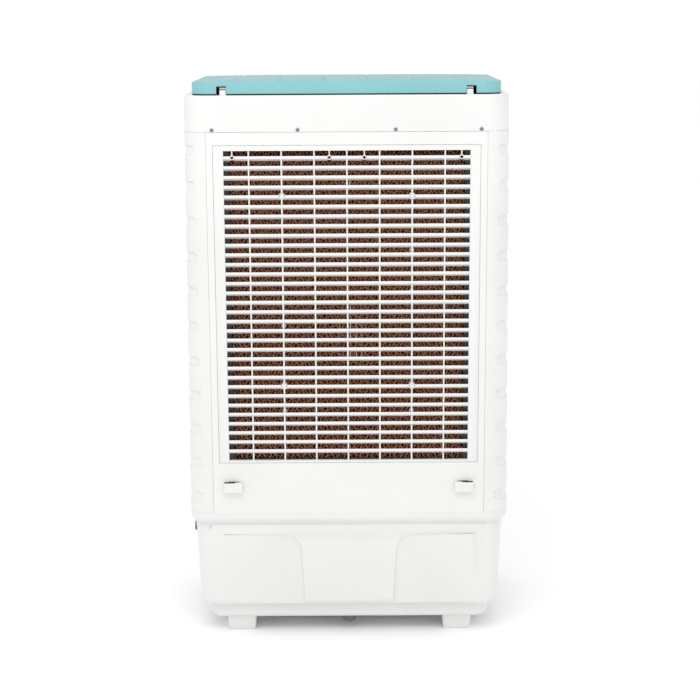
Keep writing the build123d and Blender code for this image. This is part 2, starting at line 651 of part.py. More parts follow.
# ---------------------------------------------------------------- wet pad and its cassette
PAD_REAR = GRILLE_BACK - PAD_SETBACK
PAD_FRONT = PAD_REAR - PAD_THICKNESS
PAD_HALF = OPENING_HALF - PAD_MARGIN
PAD_COVER = 2.0  # pad beyond the opening's top and bottom
PAD_Z = (OPENING_BOTTOM - PAD_COVER, OPENING_TOP + PAD_COVER)
CASSETTE_LIP = 8.0
CASSETTE_Z = (PAD_Z[0] - CASSETTE_WALL, PAD_Z[1] + CASSETTE_WALL)
WATER_SLOTS = 6  # in the cassette's floor and roof
WATER_SLOT_PITCH = 70.0
WATER_SLOT_HALF = 22.0
WATER_SLOT_MARGIN = 20.0
RETAINER_HALF = 1.5
RETAINER_THICKNESS = 3.0
BUTTON_RADIUS = 5.0
BUTTON_HEIGHT = 4.0
BUTTONS = {-1: (0.12, 0.16, 0.55, 0.68, 0.88), 1: (0.12, 0.16, 0.44, 0.48)}  # share of the pad's height

with BuildPart() as honeycomb_pad:
    block((-PAD_HALF, PAD_HALF), (PAD_FRONT, PAD_REAR), PAD_Z)
save(honeycomb_pad, "honeycomb_pad")

with BuildPart() as pad_cassette:
    block(
        (-PAD_HALF - CASSETTE_WALL, PAD_HALF + CASSETTE_WALL),
        (PAD_FRONT - SHELF_THICKNESS, GRILLE_BACK),
        CASSETTE_Z,
    )
    block((-PAD_HALF, PAD_HALF), (PAD_FRONT, GRILLE_BACK + 1), PAD_Z, Mode.SUBTRACT)
    block(
        (-PAD_HALF + CASSETTE_LIP, PAD_HALF - CASSETTE_LIP),
        (PAD_FRONT - SHELF_THICKNESS - 1, PAD_FRONT + 1),
        (PAD_Z[0] + CASSETTE_LIP, PAD_Z[1] - CASSETTE_LIP),
        Mode.SUBTRACT,
    )
    for slot_x in spread(WATER_SLOTS, WATER_SLOT_PITCH):
        for slot_z in ((CASSETTE_Z[0] - 1, PAD_Z[0] + 1), (PAD_Z[1] - 1, CASSETTE_Z[1] + 1)):
            block(
                (slot_x - WATER_SLOT_HALF, slot_x + WATER_SLOT_HALF),
                (PAD_FRONT + WATER_SLOT_MARGIN, PAD_REAR - WATER_SLOT_MARGIN),
                slot_z,
                Mode.SUBTRACT,
            )
save(pad_cassette, "pad_cassette")

with BuildPart() as pad_retainers:
    for side in BOTH_SIDES:
        strip_x = side * BOSS_X
        block(
            (strip_x - RETAINER_HALF, strip_x + RETAINER_HALF),
            (PAD_REAR, PAD_REAR + RETAINER_THICKNESS),
            PAD_Z,
        )
        for share in BUTTONS[side]:
            button_z = PAD_Z[0] + share * (PAD_Z[1] - PAD_Z[0])
            rod((strip_x, PAD_REAR, button_z), (0, 1, 0), BUTTON_RADIUS, RETAINER_THICKNESS + BUTTON_HEIGHT)
        for boss_z in BOSS_ZS:
            rod((strip_x, PAD_REAR, boss_z), (0, 1, 0), BOSS_RADIUS, PAD_SETBACK)
            rod((strip_x, PAD_REAR, boss_z), (0, 1, 0), SCREW_RADIUS, PAD_SETBACK, Mode.SUBTRACT)
save(pad_retainers, "pad_retainers")

GRILLE_SCREW_SINK = 1.0
GRILLE_SCREW_HEAD = BOSS_SINK - GRILLE_SCREW_SINK
GRILLE_SCREW_LENGTH = 18.0
with BuildPart() as grille_screws:
    for side in BOTH_SIDES:
        for boss_z in BOSS_ZS:
            head = (side * BOSS_X, GRILLE_FACE - GRILLE_SCREW_SINK, boss_z)
            rod(head, (0, -1, 0), SCREW_HEAD - 2 * SCREW_SLACK, GRILLE_SCREW_HEAD)
            rod(head, (0, -1, 0), SCREW_RADIUS - SCREW_SLACK, GRILLE_SCREW_HEAD + GRILLE_SCREW_LENGTH - 1)
save(grille_screws, "grille_screws")

# ---------------------------------------------------------------- water distribution
PUMP_X = -PAD_HALF - CASSETTE_WALL - 14.0  # the hose rises beside the cassette
PUMP_Y = (PAD_FRONT + PAD_REAR) / 2
PUMP_RADIUS = 19.0
PUMP_HEIGHT = 62.0
PUMP_ROUND = 4.0
PUMP_NECK = (15.5, 6.0)  # plug that drops into the strainer
STRAINER_HEIGHT = 24.0
STRAINER_WALL = 3.0
STRAINER_SLOTS = 12
STRAINER_SLOT_WIDTH = 4.0
STRAINER_BAND = 5.0  # left whole above and below the slots
SPINDLE_RADIUS = 3.0
SPINDLE_REACH = 16.0  # into the pump
SPIGOT_RADIUS = 5.9
SPIGOT_LENGTH = 14.0
SPIGOT_BORE = 4.0
SPIGOT_ROOT = 10.0
HOSE_RADIUS = 8.0
HOSE_BORE = 6.0
HOSE_BEND = 24.0
HOSE_GAP = 0.2
TROUGH_HALF = PAD_HALF - 6.0
TROUGH_HEIGHT = 26.0
TROUGH_WALL = 2.5
TROUGH_INSET = 10.0
TROUGH_Y = (PAD_FRONT + TROUGH_INSET, PAD_REAR - TROUGH_INSET)
DRIP_RADIUS = 2.0
DRIP_PITCH = (24.0, 20.0)
DRIP_COUNT = (19, 2)
TANK_FLOOR = PLINTH_Z + TANK_WALL
IMPELLER_RADIUS = 13.0
IMPELLER_Z = (TANK_FLOOR + 8.0, TANK_FLOOR + 16.0)
IMPELLER_VANES = 6
IMPELLER_WALL = 1.6

trough_z = CASSETTE_Z[1]
hose_z = trough_z + TROUGH_HEIGHT / 2
strainer_top = TANK_FLOOR + STRAINER_HEIGHT
pump_top = strainer_top + PUMP_HEIGHT

with BuildPart() as pump_strainer:
    rod((PUMP_X, PUMP_Y, TANK_FLOOR), (0, 0, 1), PUMP_RADIUS, STRAINER_HEIGHT)
    rod(
        (PUMP_X, PUMP_Y, TANK_FLOOR + STRAINER_WALL),
        (0, 0, 1),
        PUMP_RADIUS - STRAINER_WALL,
        STRAINER_HEIGHT,
        Mode.SUBTRACT,
    )
    with Locations((PUMP_X, PUMP_Y, TANK_FLOOR + STRAINER_HEIGHT / 2)):
        with PolarLocations(PUMP_RADIUS, STRAINER_SLOTS):
            Box(
                3 * STRAINER_WALL,
                STRAINER_SLOT_WIDTH,
                STRAINER_HEIGHT - 2 * STRAINER_BAND,
                mode=Mode.SUBTRACT,
            )
save(pump_strainer, "pump_strainer")

with BuildPart() as pump_body:
    rod((PUMP_X, PUMP_Y, strainer_top), (0, 0, 1), PUMP_RADIUS, PUMP_HEIGHT)
    fillet(pump_body.edges().group_by(Axis.Z)[-1], PUMP_ROUND)
    neck_z = strainer_top - PUMP_NECK[1]
    rod((PUMP_X, PUMP_Y, neck_z), (0, 0, 1), *PUMP_NECK)
    rod((PUMP_X, PUMP_Y, pump_top), (0, 0, 1), SPIGOT_RADIUS, SPIGOT_LENGTH)
    rod(
        (PUMP_X, PUMP_Y, pump_top - SPIGOT_ROOT),
        (0, 0, 1),
        SPIGOT_BORE,
        SPIGOT_LENGTH + SPIGOT_ROOT,
        Mode.SUBTRACT,
    )
    rod(
        (PUMP_X, PUMP_Y, neck_z),
        (0, 0, 1),
        SPINDLE_RADIUS + RUNNING_GAP,
        PUMP_NECK[1] + SPINDLE_REACH + FIT_GAP,
        Mode.SUBTRACT,
    )
save(pump_body, "pump_body")

with BuildPart() as pump_impeller:
    impeller_foot = (PUMP_X, PUMP_Y, IMPELLER_Z[0])
    rod(impeller_foot, (0, 0, 1), IMPELLER_RADIUS, IMPELLER_WALL)
    rod(impeller_foot, (0, 0, 1), SPINDLE_RADIUS, strainer_top + SPINDLE_REACH - IMPELLER_Z[0])
    with Locations((PUMP_X, PUMP_Y, (IMPELLER_Z[0] + IMPELLER_Z[1]) / 2)):
        with PolarLocations(IMPELLER_RADIUS / 2, IMPELLER_VANES):
            Box(IMPELLER_RADIUS - 1, IMPELLER_WALL, IMPELLER_Z[1] - IMPELLER_Z[0])
save(pump_impeller, "pump_impeller")

with BuildPart() as supply_hose:
    hose_start = (PUMP_X, PUMP_Y, pump_top + HOSE_GAP)
    with BuildLine():
        FilletPolyline(
            hose_start,
            (PUMP_X, PUMP_Y, hose_z),
            (-TROUGH_HALF - HOSE_GAP, PUMP_Y, hose_z),
            radius=HOSE_BEND,
        )
    with BuildSketch(Plane(origin=hose_start, z_dir=(0, 0, 1))):
        Circle(HOSE_RADIUS)
        Circle(HOSE_BORE, mode=Mode.SUBTRACT)
    sweep()
save(supply_hose, "supply_hose")

with BuildPart() as water_distributor:
    block((-TROUGH_HALF, TROUGH_HALF), TROUGH_Y, (trough_z, trough_z + TROUGH_HEIGHT))
    block(
        (-TROUGH_HALF + TROUGH_WALL, TROUGH_HALF - TROUGH_WALL),
        (TROUGH_Y[0] + TROUGH_WALL, TROUGH_Y[1] - TROUGH_WALL),
        (trough_z + TROUGH_WALL, trough_z + TROUGH_HEIGHT + 1),
        Mode.SUBTRACT,
    )
    with Locations(Plane.XY.offset(trough_z)):
        with GridLocations(*DRIP_PITCH, *DRIP_COUNT):
            with Locations((0, PUMP_Y, 0)):
                Hole(DRIP_RADIUS, depth=TROUGH_WALL + 1)
    rod((-TROUGH_HALF, PUMP_Y, hose_z), (-1, 0, 0), SPIGOT_RADIUS, SPIGOT_LENGTH)
    rod(
        (-TROUGH_HALF + TROUGH_WALL, PUMP_Y, hose_z),
        (-1, 0, 0),
        SPIGOT_BORE,
        SPIGOT_LENGTH + TROUGH_WALL,
        Mode.SUBTRACT,
    )
save(water_distributor, "water_distributor")

# ---------------------------------------------------------------- fan, motor and shroud
PAD_CLEARANCE = 26.0
SHROUD_Y = PAD_FRONT - SHELF_THICKNESS - PAD_CLEARANCE  # side of the shroud plate that faces the pad
SHROUD_WALL = 3.0
SHROUD_DEPTH = 72.0
SHROUD_FLANGE = 12.0
FAN_GAP = 12.0  # hub to motor
BRACKET_THICKNESS = 5.0
BRACKET_WIDTH = 18.0
BRACKET_RING = 10.0
CLAMP_WALL = 3.0
CLAMP_LENGTH = 24.0
MOTOR_SINK = 2.0  # motor's face inside its bracket
MOTOR_ROUND = 6.0
MOTOR_NOSE = (16.0, 4.0)  # radius, and how far the bearing boss stands out
COOLING_GROOVES = 5
COOLING_PITCH = 10.0
COOLING_GROOVE = (4.0, 2.0)  # width and depth
SHAFT_ROOT = 30.0  # shaft inside the motor
BLADE_ROOT = 8.0  # blades start this deep in the hub
BLADE_CAMBER = 0.07  # rise of a blade's arch, as a share of its chord
ROOT_CHORD = 56.0
TIP_CHORD = 132.0
ROOT_PITCH = 42.0
TIP_PITCH = 20.0
BLADE_THICKNESS = 3.0
NUT_LENGTH = 10.0
FAN_NUT_RADIUS = 16.0
FAN_NUT_CHAMFER = 2.5

shroud_front = SHROUD_Y - SHROUD_DEPTH
shroud_bore = FAN_RADIUS + TIP_GAP
motor_back = shroud_front - MOTOR_SINK
hub_y = (motor_back + FAN_GAP, motor_back + FAN_GAP + HUB_LENGTH)
blade_y = sum(hub_y) / 2
tip_radius = math.sqrt(FAN_RADIUS**2 - (TIP_CHORD / 2) ** 2)  # a tip's corners reach FAN_RADIUS


def fan_axis(y):
    return (0, y, OUTLET_Z)


with BuildPart() as fan_shroud:
    with BuildSketch(upright(SHROUD_Y)):
        with BuildLine():
            Polyline(
                (side_half(BODY_Z) - BODY_WALL, BODY_Z),
                (side_half(COVER_Z) - BODY_WALL, COVER_Z),
                (-side_half(COVER_Z) + BODY_WALL, COVER_Z),
                (-side_half(BODY_Z) + BODY_WALL, BODY_Z),
                close=True,
            )
        make_face()
        with Locations((0, OUTLET_Z)):
            Circle(shroud_bore, mode=Mode.SUBTRACT)
    extrude(amount=SHROUD_WALL)
    with BuildSketch(upright(SHROUD_Y)):
        with Locations((0, OUTLET_Z)):
            Circle(shroud_bore + SHROUD_WALL)
            Circle(shroud_bore, mode=Mode.SUBTRACT)
    extrude(amount=SHROUD_DEPTH)
    with BuildSketch(upright(shroud_front + SHROUD_WALL)):
        with Locations((0, OUTLET_Z)):
            Circle(shroud_bore + SHROUD_FLANGE)
            Circle(shroud_bore, mode=Mode.SUBTRACT)
    extrude(amount=SHROUD_WALL)
save(fan_shroud, "fan_shroud")

with BuildPart() as motor_body:
    rod(fan_axis(motor_back), (0, -1, 0), MOTOR_RADIUS, MOTOR_LENGTH)
    fillet(motor_body.edges().filter_by(GeomType.CIRCLE), MOTOR_ROUND)
    nose_y = motor_back + MOTOR_NOSE[1]
    rod(fan_axis(nose_y), (0, -1, 0), MOTOR_NOSE[0], 2 * MOTOR_NOSE[1])
    rod(fan_axis(nose_y), (0, -1, 0), SHAFT_RADIUS + RUNNING_GAP, MOTOR_LENGTH / 2, Mode.SUBTRACT)
    groove_end = motor_back - CLAMP_LENGTH - 2 * MOTOR_NOSE[1]
    for i in range(COOLING_GROOVES):
        with BuildSketch(upright(groove_end - i * COOLING_PITCH)):
            with Locations((0, OUTLET_Z)):
                Circle(MOTOR_RADIUS + 1)
                Circle(MOTOR_RADIUS - COOLING_GROOVE[1], mode=Mode.SUBTRACT)
        extrude(amount=COOLING_GROOVE[0], mode=Mode.SUBTRACT)
save(motor_body, "motor_body")

with BuildPart() as motor_bracket:
    with BuildSketch(upright(shroud_front)):
        with Locations((0, OUTLET_Z)):
            for angle in (45, 135):
                Rectangle(2 * (shroud_bore + SHROUD_FLANGE - 1), BRACKET_WIDTH, rotation=angle)
            Circle(MOTOR_RADIUS + BRACKET_RING)
            Circle(MOTOR_RADIUS, mode=Mode.SUBTRACT)
    extrude(amount=BRACKET_THICKNESS)
    with BuildSketch(upright(shroud_front)):
        with Locations((0, OUTLET_Z)):
            Circle(MOTOR_RADIUS + CLAMP_WALL)
            Circle(MOTOR_RADIUS, mode=Mode.SUBTRACT)
    extrude(amount=CLAMP_LENGTH)
save(motor_bracket, "motor_bracket")

with BuildPart() as motor_shaft:
    shaft_start = motor_back - SHAFT_ROOT
    rod(fan_axis(shaft_start), (0, 1, 0), SHAFT_RADIUS, hub_y[1] + NUT_LENGTH - shaft_start)
save(motor_shaft, "motor_shaft")

with BuildPart() as fan_rotor:
    for i in range(FAN_BLADES):
        turn = math.radians(360 / FAN_BLADES * i)
        spoke = Vector(math.sin(turn), 0, math.cos(turn))
        sections = []
        across = Vector(math.cos(turn), 0, -math.sin(turn))
        for radius, chord, pitch in (
            (HUB_RADIUS - BLADE_ROOT, ROOT_CHORD, math.radians(ROOT_PITCH)),
            (tip_radius, TIP_CHORD, math.radians(TIP_PITCH)),
        ):
            centre = Vector(*fan_axis(blade_y)) + spoke * radius
            chord_line = across * math.cos(pitch) + Vector(0, 1, 0) * math.sin(pitch)
            with BuildSketch(Plane(origin=centre, x_dir=chord_line, z_dir=spoke)) as section:
                rise = BLADE_CAMBER * chord
                with BuildLine():
                    ThreePointArc((-chord / 2, 0), (0, rise), (chord / 2, 0))
                    Line((chord / 2, 0), (chord / 2, -BLADE_THICKNESS))
                    ThreePointArc(
                        (chord / 2, -BLADE_THICKNESS),
                        (0, rise - BLADE_THICKNESS),
                        (-chord / 2, -BLADE_THICKNESS),
                    )
                    Line((-chord / 2, -BLADE_THICKNESS), (-chord / 2, 0))
                make_face()
            sections.append(section.sketch.face())
        loft(sections, ruled=True)
    rod(fan_axis(hub_y[0]), (0, 1, 0), HUB_RADIUS, HUB_LENGTH)
    rod(fan_axis(hub_y[0]), (0, 1, 0), SHAFT_RADIUS, HUB_LENGTH, Mode.SUBTRACT)
save(fan_rotor, "fan_rotor")

with BuildPart() as fan_nut:
    rod(fan_axis(hub_y[1]), (0, 1, 0), FAN_NUT_RADIUS, NUT_LENGTH)
    chamfer(fan_nut.edges().group_by(Axis.Y)[-1], FAN_NUT_CHAMFER)
    rod(fan_axis(hub_y[1]), (0, 1, 0), SHAFT_RADIUS, NUT_LENGTH, Mode.SUBTRACT)
save(fan_nut, "fan_nut")

# ---------------------------------------------------------------- air outlet
DEFLECTOR_INSET = 28.0  # pivot behind the housing's front
VANE_INSET = 80.0
BEZEL_DEPTH = 108.0
DEFLECTOR_THICKNESS = 3.2
END_PLAY = 0.8
PIN_REACH = 3.6  # pins go this far into the bezel's wall
PIN_SOCKET = 4.0  # depth of the sockets that hold them
BEZEL_CORNER = 16.0
ARM_LEVEL = 4.0  # vane arm above the duct's floor
ARM_THICKNESS = 4.0
LINK_THICKNESS = 3.0
LINK_HALF_WIDTH = 4.0
VANE_THICKNESS = 3.0
VANE_FOOT = 3.0  # blade above the link
PIN_TOP_GAP = 1.0
DEFLECTOR_COLLAR = 1.0  # rim round the pivot, over its radius
POST_RADIUS = 3.5

duct_half = OUTLET_HALF - FIT_GAP - BEZEL_WALL
duct_z = (OUTLET_BOTTOM + FIT_GAP + BEZEL_WALL, OUTLET_TOP - FIT_GAP - BEZEL_WALL)
deflector_y = FRONT + DEFLECTOR_INSET
vane_y = FRONT + VANE_INSET
deflector_pitch = (duct_z[1] - duct_z[0]) / DEFLECTOR_COUNT
vane_pitch = 2 * duct_half / VANE_COUNT
arm_z = duct_z[0] + ARM_LEVEL
link_z = arm_z + ARM_THICKNESS + SLIDE_GAP

with BuildPart() as outlet_bezel:
    block(
        (-OUTLET_HALF - BEZEL_FLANGE, OUTLET_HALF + BEZEL_FLANGE),
        (FRONT - BEZEL_PROUD, FRONT),
        (OUTLET_BOTTOM - BEZEL_FLANGE, OUTLET_TOP + BEZEL_FLANGE),
    )
    fillet(outlet_bezel.edges().filter_by(Axis.Y), BEZEL_CORNER)
    block(
        (-OUTLET_HALF + FIT_GAP, OUTLET_HALF - FIT_GAP),
        (FRONT, FRONT + BEZEL_DEPTH),
        (OUTLET_BOTTOM + FIT_GAP, OUTLET_TOP - FIT_GAP),
    )
    block((-duct_half, duct_half), (FRONT - BEZEL_PROUD - 1, FRONT + BEZEL_DEPTH + 1), duct_z, Mode.SUBTRACT)
    for z in spread(DEFLECTOR_COUNT, deflector_pitch):
        for side in BOTH_SIDES:
            rod(
                (side * (duct_half - 1), deflector_y, OUTLET_Z + z),
                (side, 0, 0),
                PIVOT_RADIUS + RUNNING_GAP,
                PIN_SOCKET + 1,
                Mode.SUBTRACT,
            )
    for x in spread(VANE_COUNT, vane_pitch):
        for end_z, sense in zip(duct_z, BOTH_SIDES):
            rod(
                (x, vane_y, end_z - sense),
                (0, 0, sense),
                PIVOT_RADIUS + RUNNING_GAP,
                PIN_SOCKET + 1,
                Mode.SUBTRACT,
            )
save(outlet_bezel, "outlet_bezel")

for i, z in enumerate(reversed(spread(DEFLECTOR_COUNT, deflector_pitch)), start=1):
    with BuildPart() as deflector:
        with BuildSketch(Plane.YZ.offset(-duct_half + END_PLAY)):
            with Locations((deflector_y, OUTLET_Z + z)):
                SlotOverall(DEFLECTOR_CHORD, DEFLECTOR_THICKNESS)
                Circle(PIVOT_RADIUS + DEFLECTOR_COLLAR)
        extrude(amount=2 * (duct_half - END_PLAY))
        rod(
            (-duct_half - PIN_REACH, deflector_y, OUTLET_Z + z),
            (1, 0, 0),
            PIVOT_RADIUS,
            2 * (duct_half + PIN_REACH),
        )
    save(deflector, f"deflector_{i}")

for i, x in enumerate(spread(VANE_COUNT, vane_pitch), start=1):
    with BuildPart() as vane:
        blade_z = link_z + LINK_THICKNESS + VANE_FOOT
        with BuildSketch(Plane.XY.offset(blade_z)):
            with Locations((x, vane_y)):
                SlotOverall(VANE_CHORD, VANE_THICKNESS, rotation=90)
                Circle(POST_RADIUS)
        extrude(amount=duct_z[1] - END_PLAY - blade_z)
        rod((x, vane_y, duct_z[0] + END_PLAY), (0, 0, 1), POST_RADIUS, blade_z - duct_z[0])
        block(
            (x - LINK_HALF_WIDTH, x + LINK_HALF_WIDTH),
            (vane_y, vane_y + VANE_ARM + LINK_HALF_WIDTH),
            (arm_z, arm_z + ARM_THICKNESS),
        )
        rod((x, vane_y + VANE_ARM, arm_z), (0, 0, 1), LINK_PIN_RADIUS, blade_z - PIN_TOP_GAP - arm_z)
        rod(
            (x, vane_y, duct_z[0] - PIN_REACH),
            (0, 0, 1),
            PIVOT_RADIUS,
            duct_z[1] - duct_z[0] + 2 * PIN_REACH,
        )
    save(vane, f"vane_{i}")

with BuildPart() as vane_link:
    link_half = (VANE_COUNT - 1) / 2 * vane_pitch + LINK_HALF_WIDTH
    block(
        (-link_half, link_half),
        (vane_y + VANE_ARM - LINK_HALF_WIDTH, vane_y + VANE_ARM + LINK_HALF_WIDTH),
        (link_z, link_z + LINK_THICKNESS),
    )
    for x in spread(VANE_COUNT, vane_pitch):
        rod(
            (x, vane_y + VANE_ARM, link_z),
            (0, 0, 1),
            LINK_PIN_RADIUS + RUNNING_GAP,
            LINK_THICKNESS,
            Mode.SUBTRACT,
        )
save(vane_link, "vane_link")

SWING_MOTOR_RADIUS = 24.0
SWING_MOTOR_HEIGHT = 18.0
SWING_EARS = (34.0, 8.0, 2.0)  # half length, half width and thickness of its fixing strip
with BuildPart() as swing_motor:
    swing_x = spread(VANE_COUNT, vane_pitch)[VANE_COUNT // 2]
    rod(
        (swing_x, vane_y, OUTLET_TOP - FIT_GAP),
        (0, 0, 1),
        SWING_MOTOR_RADIUS,
        SWING_MOTOR_HEIGHT,
    )
    block(
        (swing_x - SWING_EARS[0], swing_x + SWING_EARS[0]),
        (vane_y - SWING_EARS[1], vane_y + SWING_EARS[1]),
        (OUTLET_TOP - FIT_GAP, OUTLET_TOP - FIT_GAP + SWING_EARS[2]),
    )
save(swing_motor, "swing_motor")

# ---------------------------------------------------------------- top cover and controls
TRAY_HALF = (205.0, 118.0)
TRAY_DEPTH = 52.0
TRAY_WALL = 2.5
TRAY_RIM = 10.0
TRAY_CORNER = 24.0
FASCIA_HALF = 170.0
FASCIA_PROUD = 2.0
FASCIA_MARGIN = 10.0
FASCIA_CORNER = 12.0
ICE_HOLE = (2.5, 60.0)  # radius and pitch of the tray's drain holes
ICE_HOLES = (6, 3)
COVER_SCREW_HEAD = 1.8
KNOB_PITCH = 110.0
KNOB_RADIUS = 20.0
KNOB_SHAFT = 3.0
KNOB_SHAFT_REACH = 12.0  # into its switch
KNOB_SKIRT = (4.0, 3.0)  # thickness, and how far it stands out round the grip
KNOB_ROUND = 1.5
KNOB_POINTER = (2.5, 0.5)  # half width, and how far it passes the skirt
SHAFT_HOLE = 4.5
SWITCH_SIZE = (36.0, 22.0)
KNOB_NAMES = ("fan_knob", "pump_knob", "swing_knob")
KNOB_Z = (COVER_Z + DECK_Z) / 2

LID_HALF = HALF_DECK - LID_INSET
LID_REAR = REAR - LID_SETBACK
LID_Z = DECK_Z + LID_GAP
HINGE_Y = LID_REAR - HINGE_INSET
HINGE_Z = DECK_Z + HINGE_HEIGHT

with BuildPart() as top_cover:
    tapered((COVER_Z, DECK_Z), (HALF_TOP, REAR), (HALF_DECK, REAR), CORNER_R)
    tapered(
        (COVER_Z, DECK_Z - COVER_WALL),
        (HALF_TOP - COVER_WALL, REAR - COVER_WALL),
        (HALF_DECK - COVER_WALL, REAR - COVER_WALL),
        CORNER_R - COVER_WALL,
        mode=Mode.SUBTRACT,
    )
    with BuildSketch(Plane.XY.offset(DECK_Z)):
        outline(*TRAY_HALF, TRAY_CORNER)
    extrude(amount=-2 * COVER_WALL, mode=Mode.SUBTRACT)
    for side in BOTH_SIDES:
        with BuildSketch(Plane.YZ.offset(side * (LUG_X + LUG_WIDTH / 2) - LUG_WIDTH / 2)):
            with Locations((HINGE_Y, DECK_Z - 1)):
                Rectangle(
                    2 * LUG_HALF,
                    HINGE_HEIGHT - LUG_SADDLE + 1,
                    align=(Align.CENTER, Align.MIN),
                )
            with Locations((HINGE_Y, HINGE_Z)):
                Circle(HINGE_PIN_RADIUS, mode=Mode.SUBTRACT)
        extrude(amount=LUG_WIDTH)
        for screw_x in SCREW_XS:
            rod((side * screw_x, REAR + 1, SCREW_Z), (0, -1, 0), SCREW_RADIUS, COVER_WALL + 2, Mode.SUBTRACT)
    for x in spread(3, KNOB_PITCH):
        rod((x, FRONT - 1, KNOB_Z), (0, 1, 0), SHAFT_HOLE, COVER_WALL + 2, Mode.SUBTRACT)
save(top_cover, "top_cover")

with BuildPart() as cover_screws:
    for side in BOTH_SIDES:
        for screw_x in SCREW_XS:
            head = (side * screw_x, REAR, SCREW_Z)
            rod(head, (0, 1, 0), SCREW_HEAD, COVER_SCREW_HEAD)
            rod(head, (0, -1, 0), SCREW_RADIUS - SCREW_SLACK, COVER_WALL + PANEL_WALL + 3)
save(cover_screws, "cover_screws")

with BuildPart() as ice_tray:
    with BuildSketch(Plane.XY.offset(DECK_Z)):
        outline(TRAY_HALF[0] + TRAY_RIM, TRAY_HALF[1] + TRAY_RIM, TRAY_CORNER + TRAY_RIM)
    extrude(amount=TRAY_WALL)
    with BuildSketch(Plane.XY.offset(DECK_Z)):
        outline(TRAY_HALF[0] - FIT_GAP, TRAY_HALF[1] - FIT_GAP, TRAY_CORNER - FIT_GAP)
    extrude(amount=-TRAY_DEPTH)
    inset = FIT_GAP + TRAY_WALL
    with BuildSketch(Plane.XY.offset(DECK_Z + TRAY_WALL)):
        outline(TRAY_HALF[0] - inset, TRAY_HALF[1] - inset, TRAY_CORNER - inset)
    extrude(amount=-TRAY_DEPTH, mode=Mode.SUBTRACT)
    with Locations(Plane.XY.offset(DECK_Z)):
        with GridLocations(ICE_HOLE[1], ICE_HOLE[1], *ICE_HOLES):
            Hole(ICE_HOLE[0], depth=TRAY_DEPTH + 1)
save(ice_tray, "ice_tray")

with BuildPart() as control_fascia:
    block(
        (-FASCIA_HALF, FASCIA_HALF),
        (FRONT - FASCIA_PROUD, FRONT),
        (COVER_Z + FASCIA_MARGIN, DECK_Z - FASCIA_MARGIN),
    )
    fillet(control_fascia.edges().filter_by(Axis.Y), FASCIA_CORNER)
    for x in spread(3, KNOB_PITCH):
        rod((x, FRONT - FASCIA_PROUD, KNOB_Z), (0, 1, 0), SHAFT_HOLE, FASCIA_PROUD, Mode.SUBTRACT)
save(control_fascia, "control_fascia")

with BuildPart() as rotary_switches:
    for x in spread(3, KNOB_PITCH):
        block(
            (x - SWITCH_SIZE[0] / 2, x + SWITCH_SIZE[0] / 2),
            (FRONT + COVER_WALL, FRONT + COVER_WALL + SWITCH_SIZE[1]),
            (KNOB_Z - SWITCH_SIZE[0] / 2, KNOB_Z + SWITCH_SIZE[0] / 2),
        )
        socket = (x, FRONT + COVER_WALL, KNOB_Z)
        rod(socket, (0, 1, 0), KNOB_SHAFT + RUNNING_GAP, KNOB_SHAFT_REACH + 2, Mode.SUBTRACT)
save(rotary_switches, "rotary_switches")

for name, x in zip(KNOB_NAMES, spread(3, KNOB_PITCH)):
    with BuildPart() as knob:
        knob_back = FRONT - FASCIA_PROUD - SLIDE_GAP
        grip_y = knob_back - KNOB_SKIRT[0]
        rod((x, knob_back, KNOB_Z), (0, -1, 0), KNOB_RADIUS, KNOB_SKIRT[0])
        rod((x, grip_y + 1, KNOB_Z), (0, -1, 0), KNOB_RADIUS - KNOB_SKIRT[1], grip_y + 1 - FRONT + PROUD)
        fillet(knob.edges().group_by(Axis.Y)[0], KNOB_ROUND)
        block(
            (x - KNOB_POINTER[0], x + KNOB_POINTER[0]),
            (FRONT - PROUD, grip_y - KNOB_POINTER[1]),
            (KNOB_Z - KNOB_RADIUS, KNOB_Z + KNOB_RADIUS + KNOB_POINTER[1]),
        )
        rod((x, knob_back, KNOB_Z), (0, 1, 0), KNOB_SHAFT, COVER_WALL + FRONT - knob_back + KNOB_SHAFT_REACH)
    save(knob, name)

# ---------------------------------------------------------------- lid and hinge
LID_CORNER = 34.0
LID_FOOT_GAP = 0.3  # side skirts over the deck
SKIRT_RELIEF = 30.0  # the side skirts stop this far short of the lid's rear face
RIB_THICKNESS = 5.0
RIB_GAP = 1.5  # lug to the lid's hinge rib
RIB_RADIUS = 6.0
LID_TOP = LID_Z + LID_EDGE + LID_CROWN
CROWN_STRIPS = 12  # flat strips across each crown, within 0.1 mm of an arc
GROOVE_STOP = 26.0
LIFT_MARGIN = 9.0  # lid's side to the raised part of its front and rear skirts
LUG_CLEARANCE = 2.0
PIN_HEAD = 1.0  # pin beyond the lid's rib


def crowned(half, fall_behind, fall_ahead, wall, base):
    """Closed profile under a crown: flat at base, LID_TOP in the middle and lower at both ends."""
    reach = half + 1
    points = [(-reach, base)]
    for i in range(CROWN_STRIPS + 1):
        share = (2 * i / CROWN_STRIPS - 1) * reach / half
        sag = (fall_ahead + fall_behind) / 2 * share**2 + (fall_behind - fall_ahead) / 2 * share
        points.append((share * half, LID_TOP - sag - wall))
    return points + [(reach, base)]


def lid_form(wall, foot):
    """Block under a crown each way, or with a wall taken off, the lid's inside."""
    with BuildPart() as form:
        with BuildSketch(Plane.XY.offset(foot)):
            outline(LID_HALF - wall, LID_REAR - wall, LID_CORNER - wall)
        extrude(amount=2 * (LID_EDGE + LID_CROWN))
        for plane, half, falls in (
            (Plane.YZ, LID_REAR, (LID_CROWN, LID_FALL)),
            (Plane.XZ, LID_HALF, (LID_ARCH, LID_ARCH)),
        ):
            with BuildSketch(plane):
                with BuildLine():
                    Polyline(*crowned(half, *falls, wall, COVER_Z), close=True)
                make_face()
            extrude(amount=BODY_WIDTH, both=True, mode=Mode.INTERSECT)
    return form.part


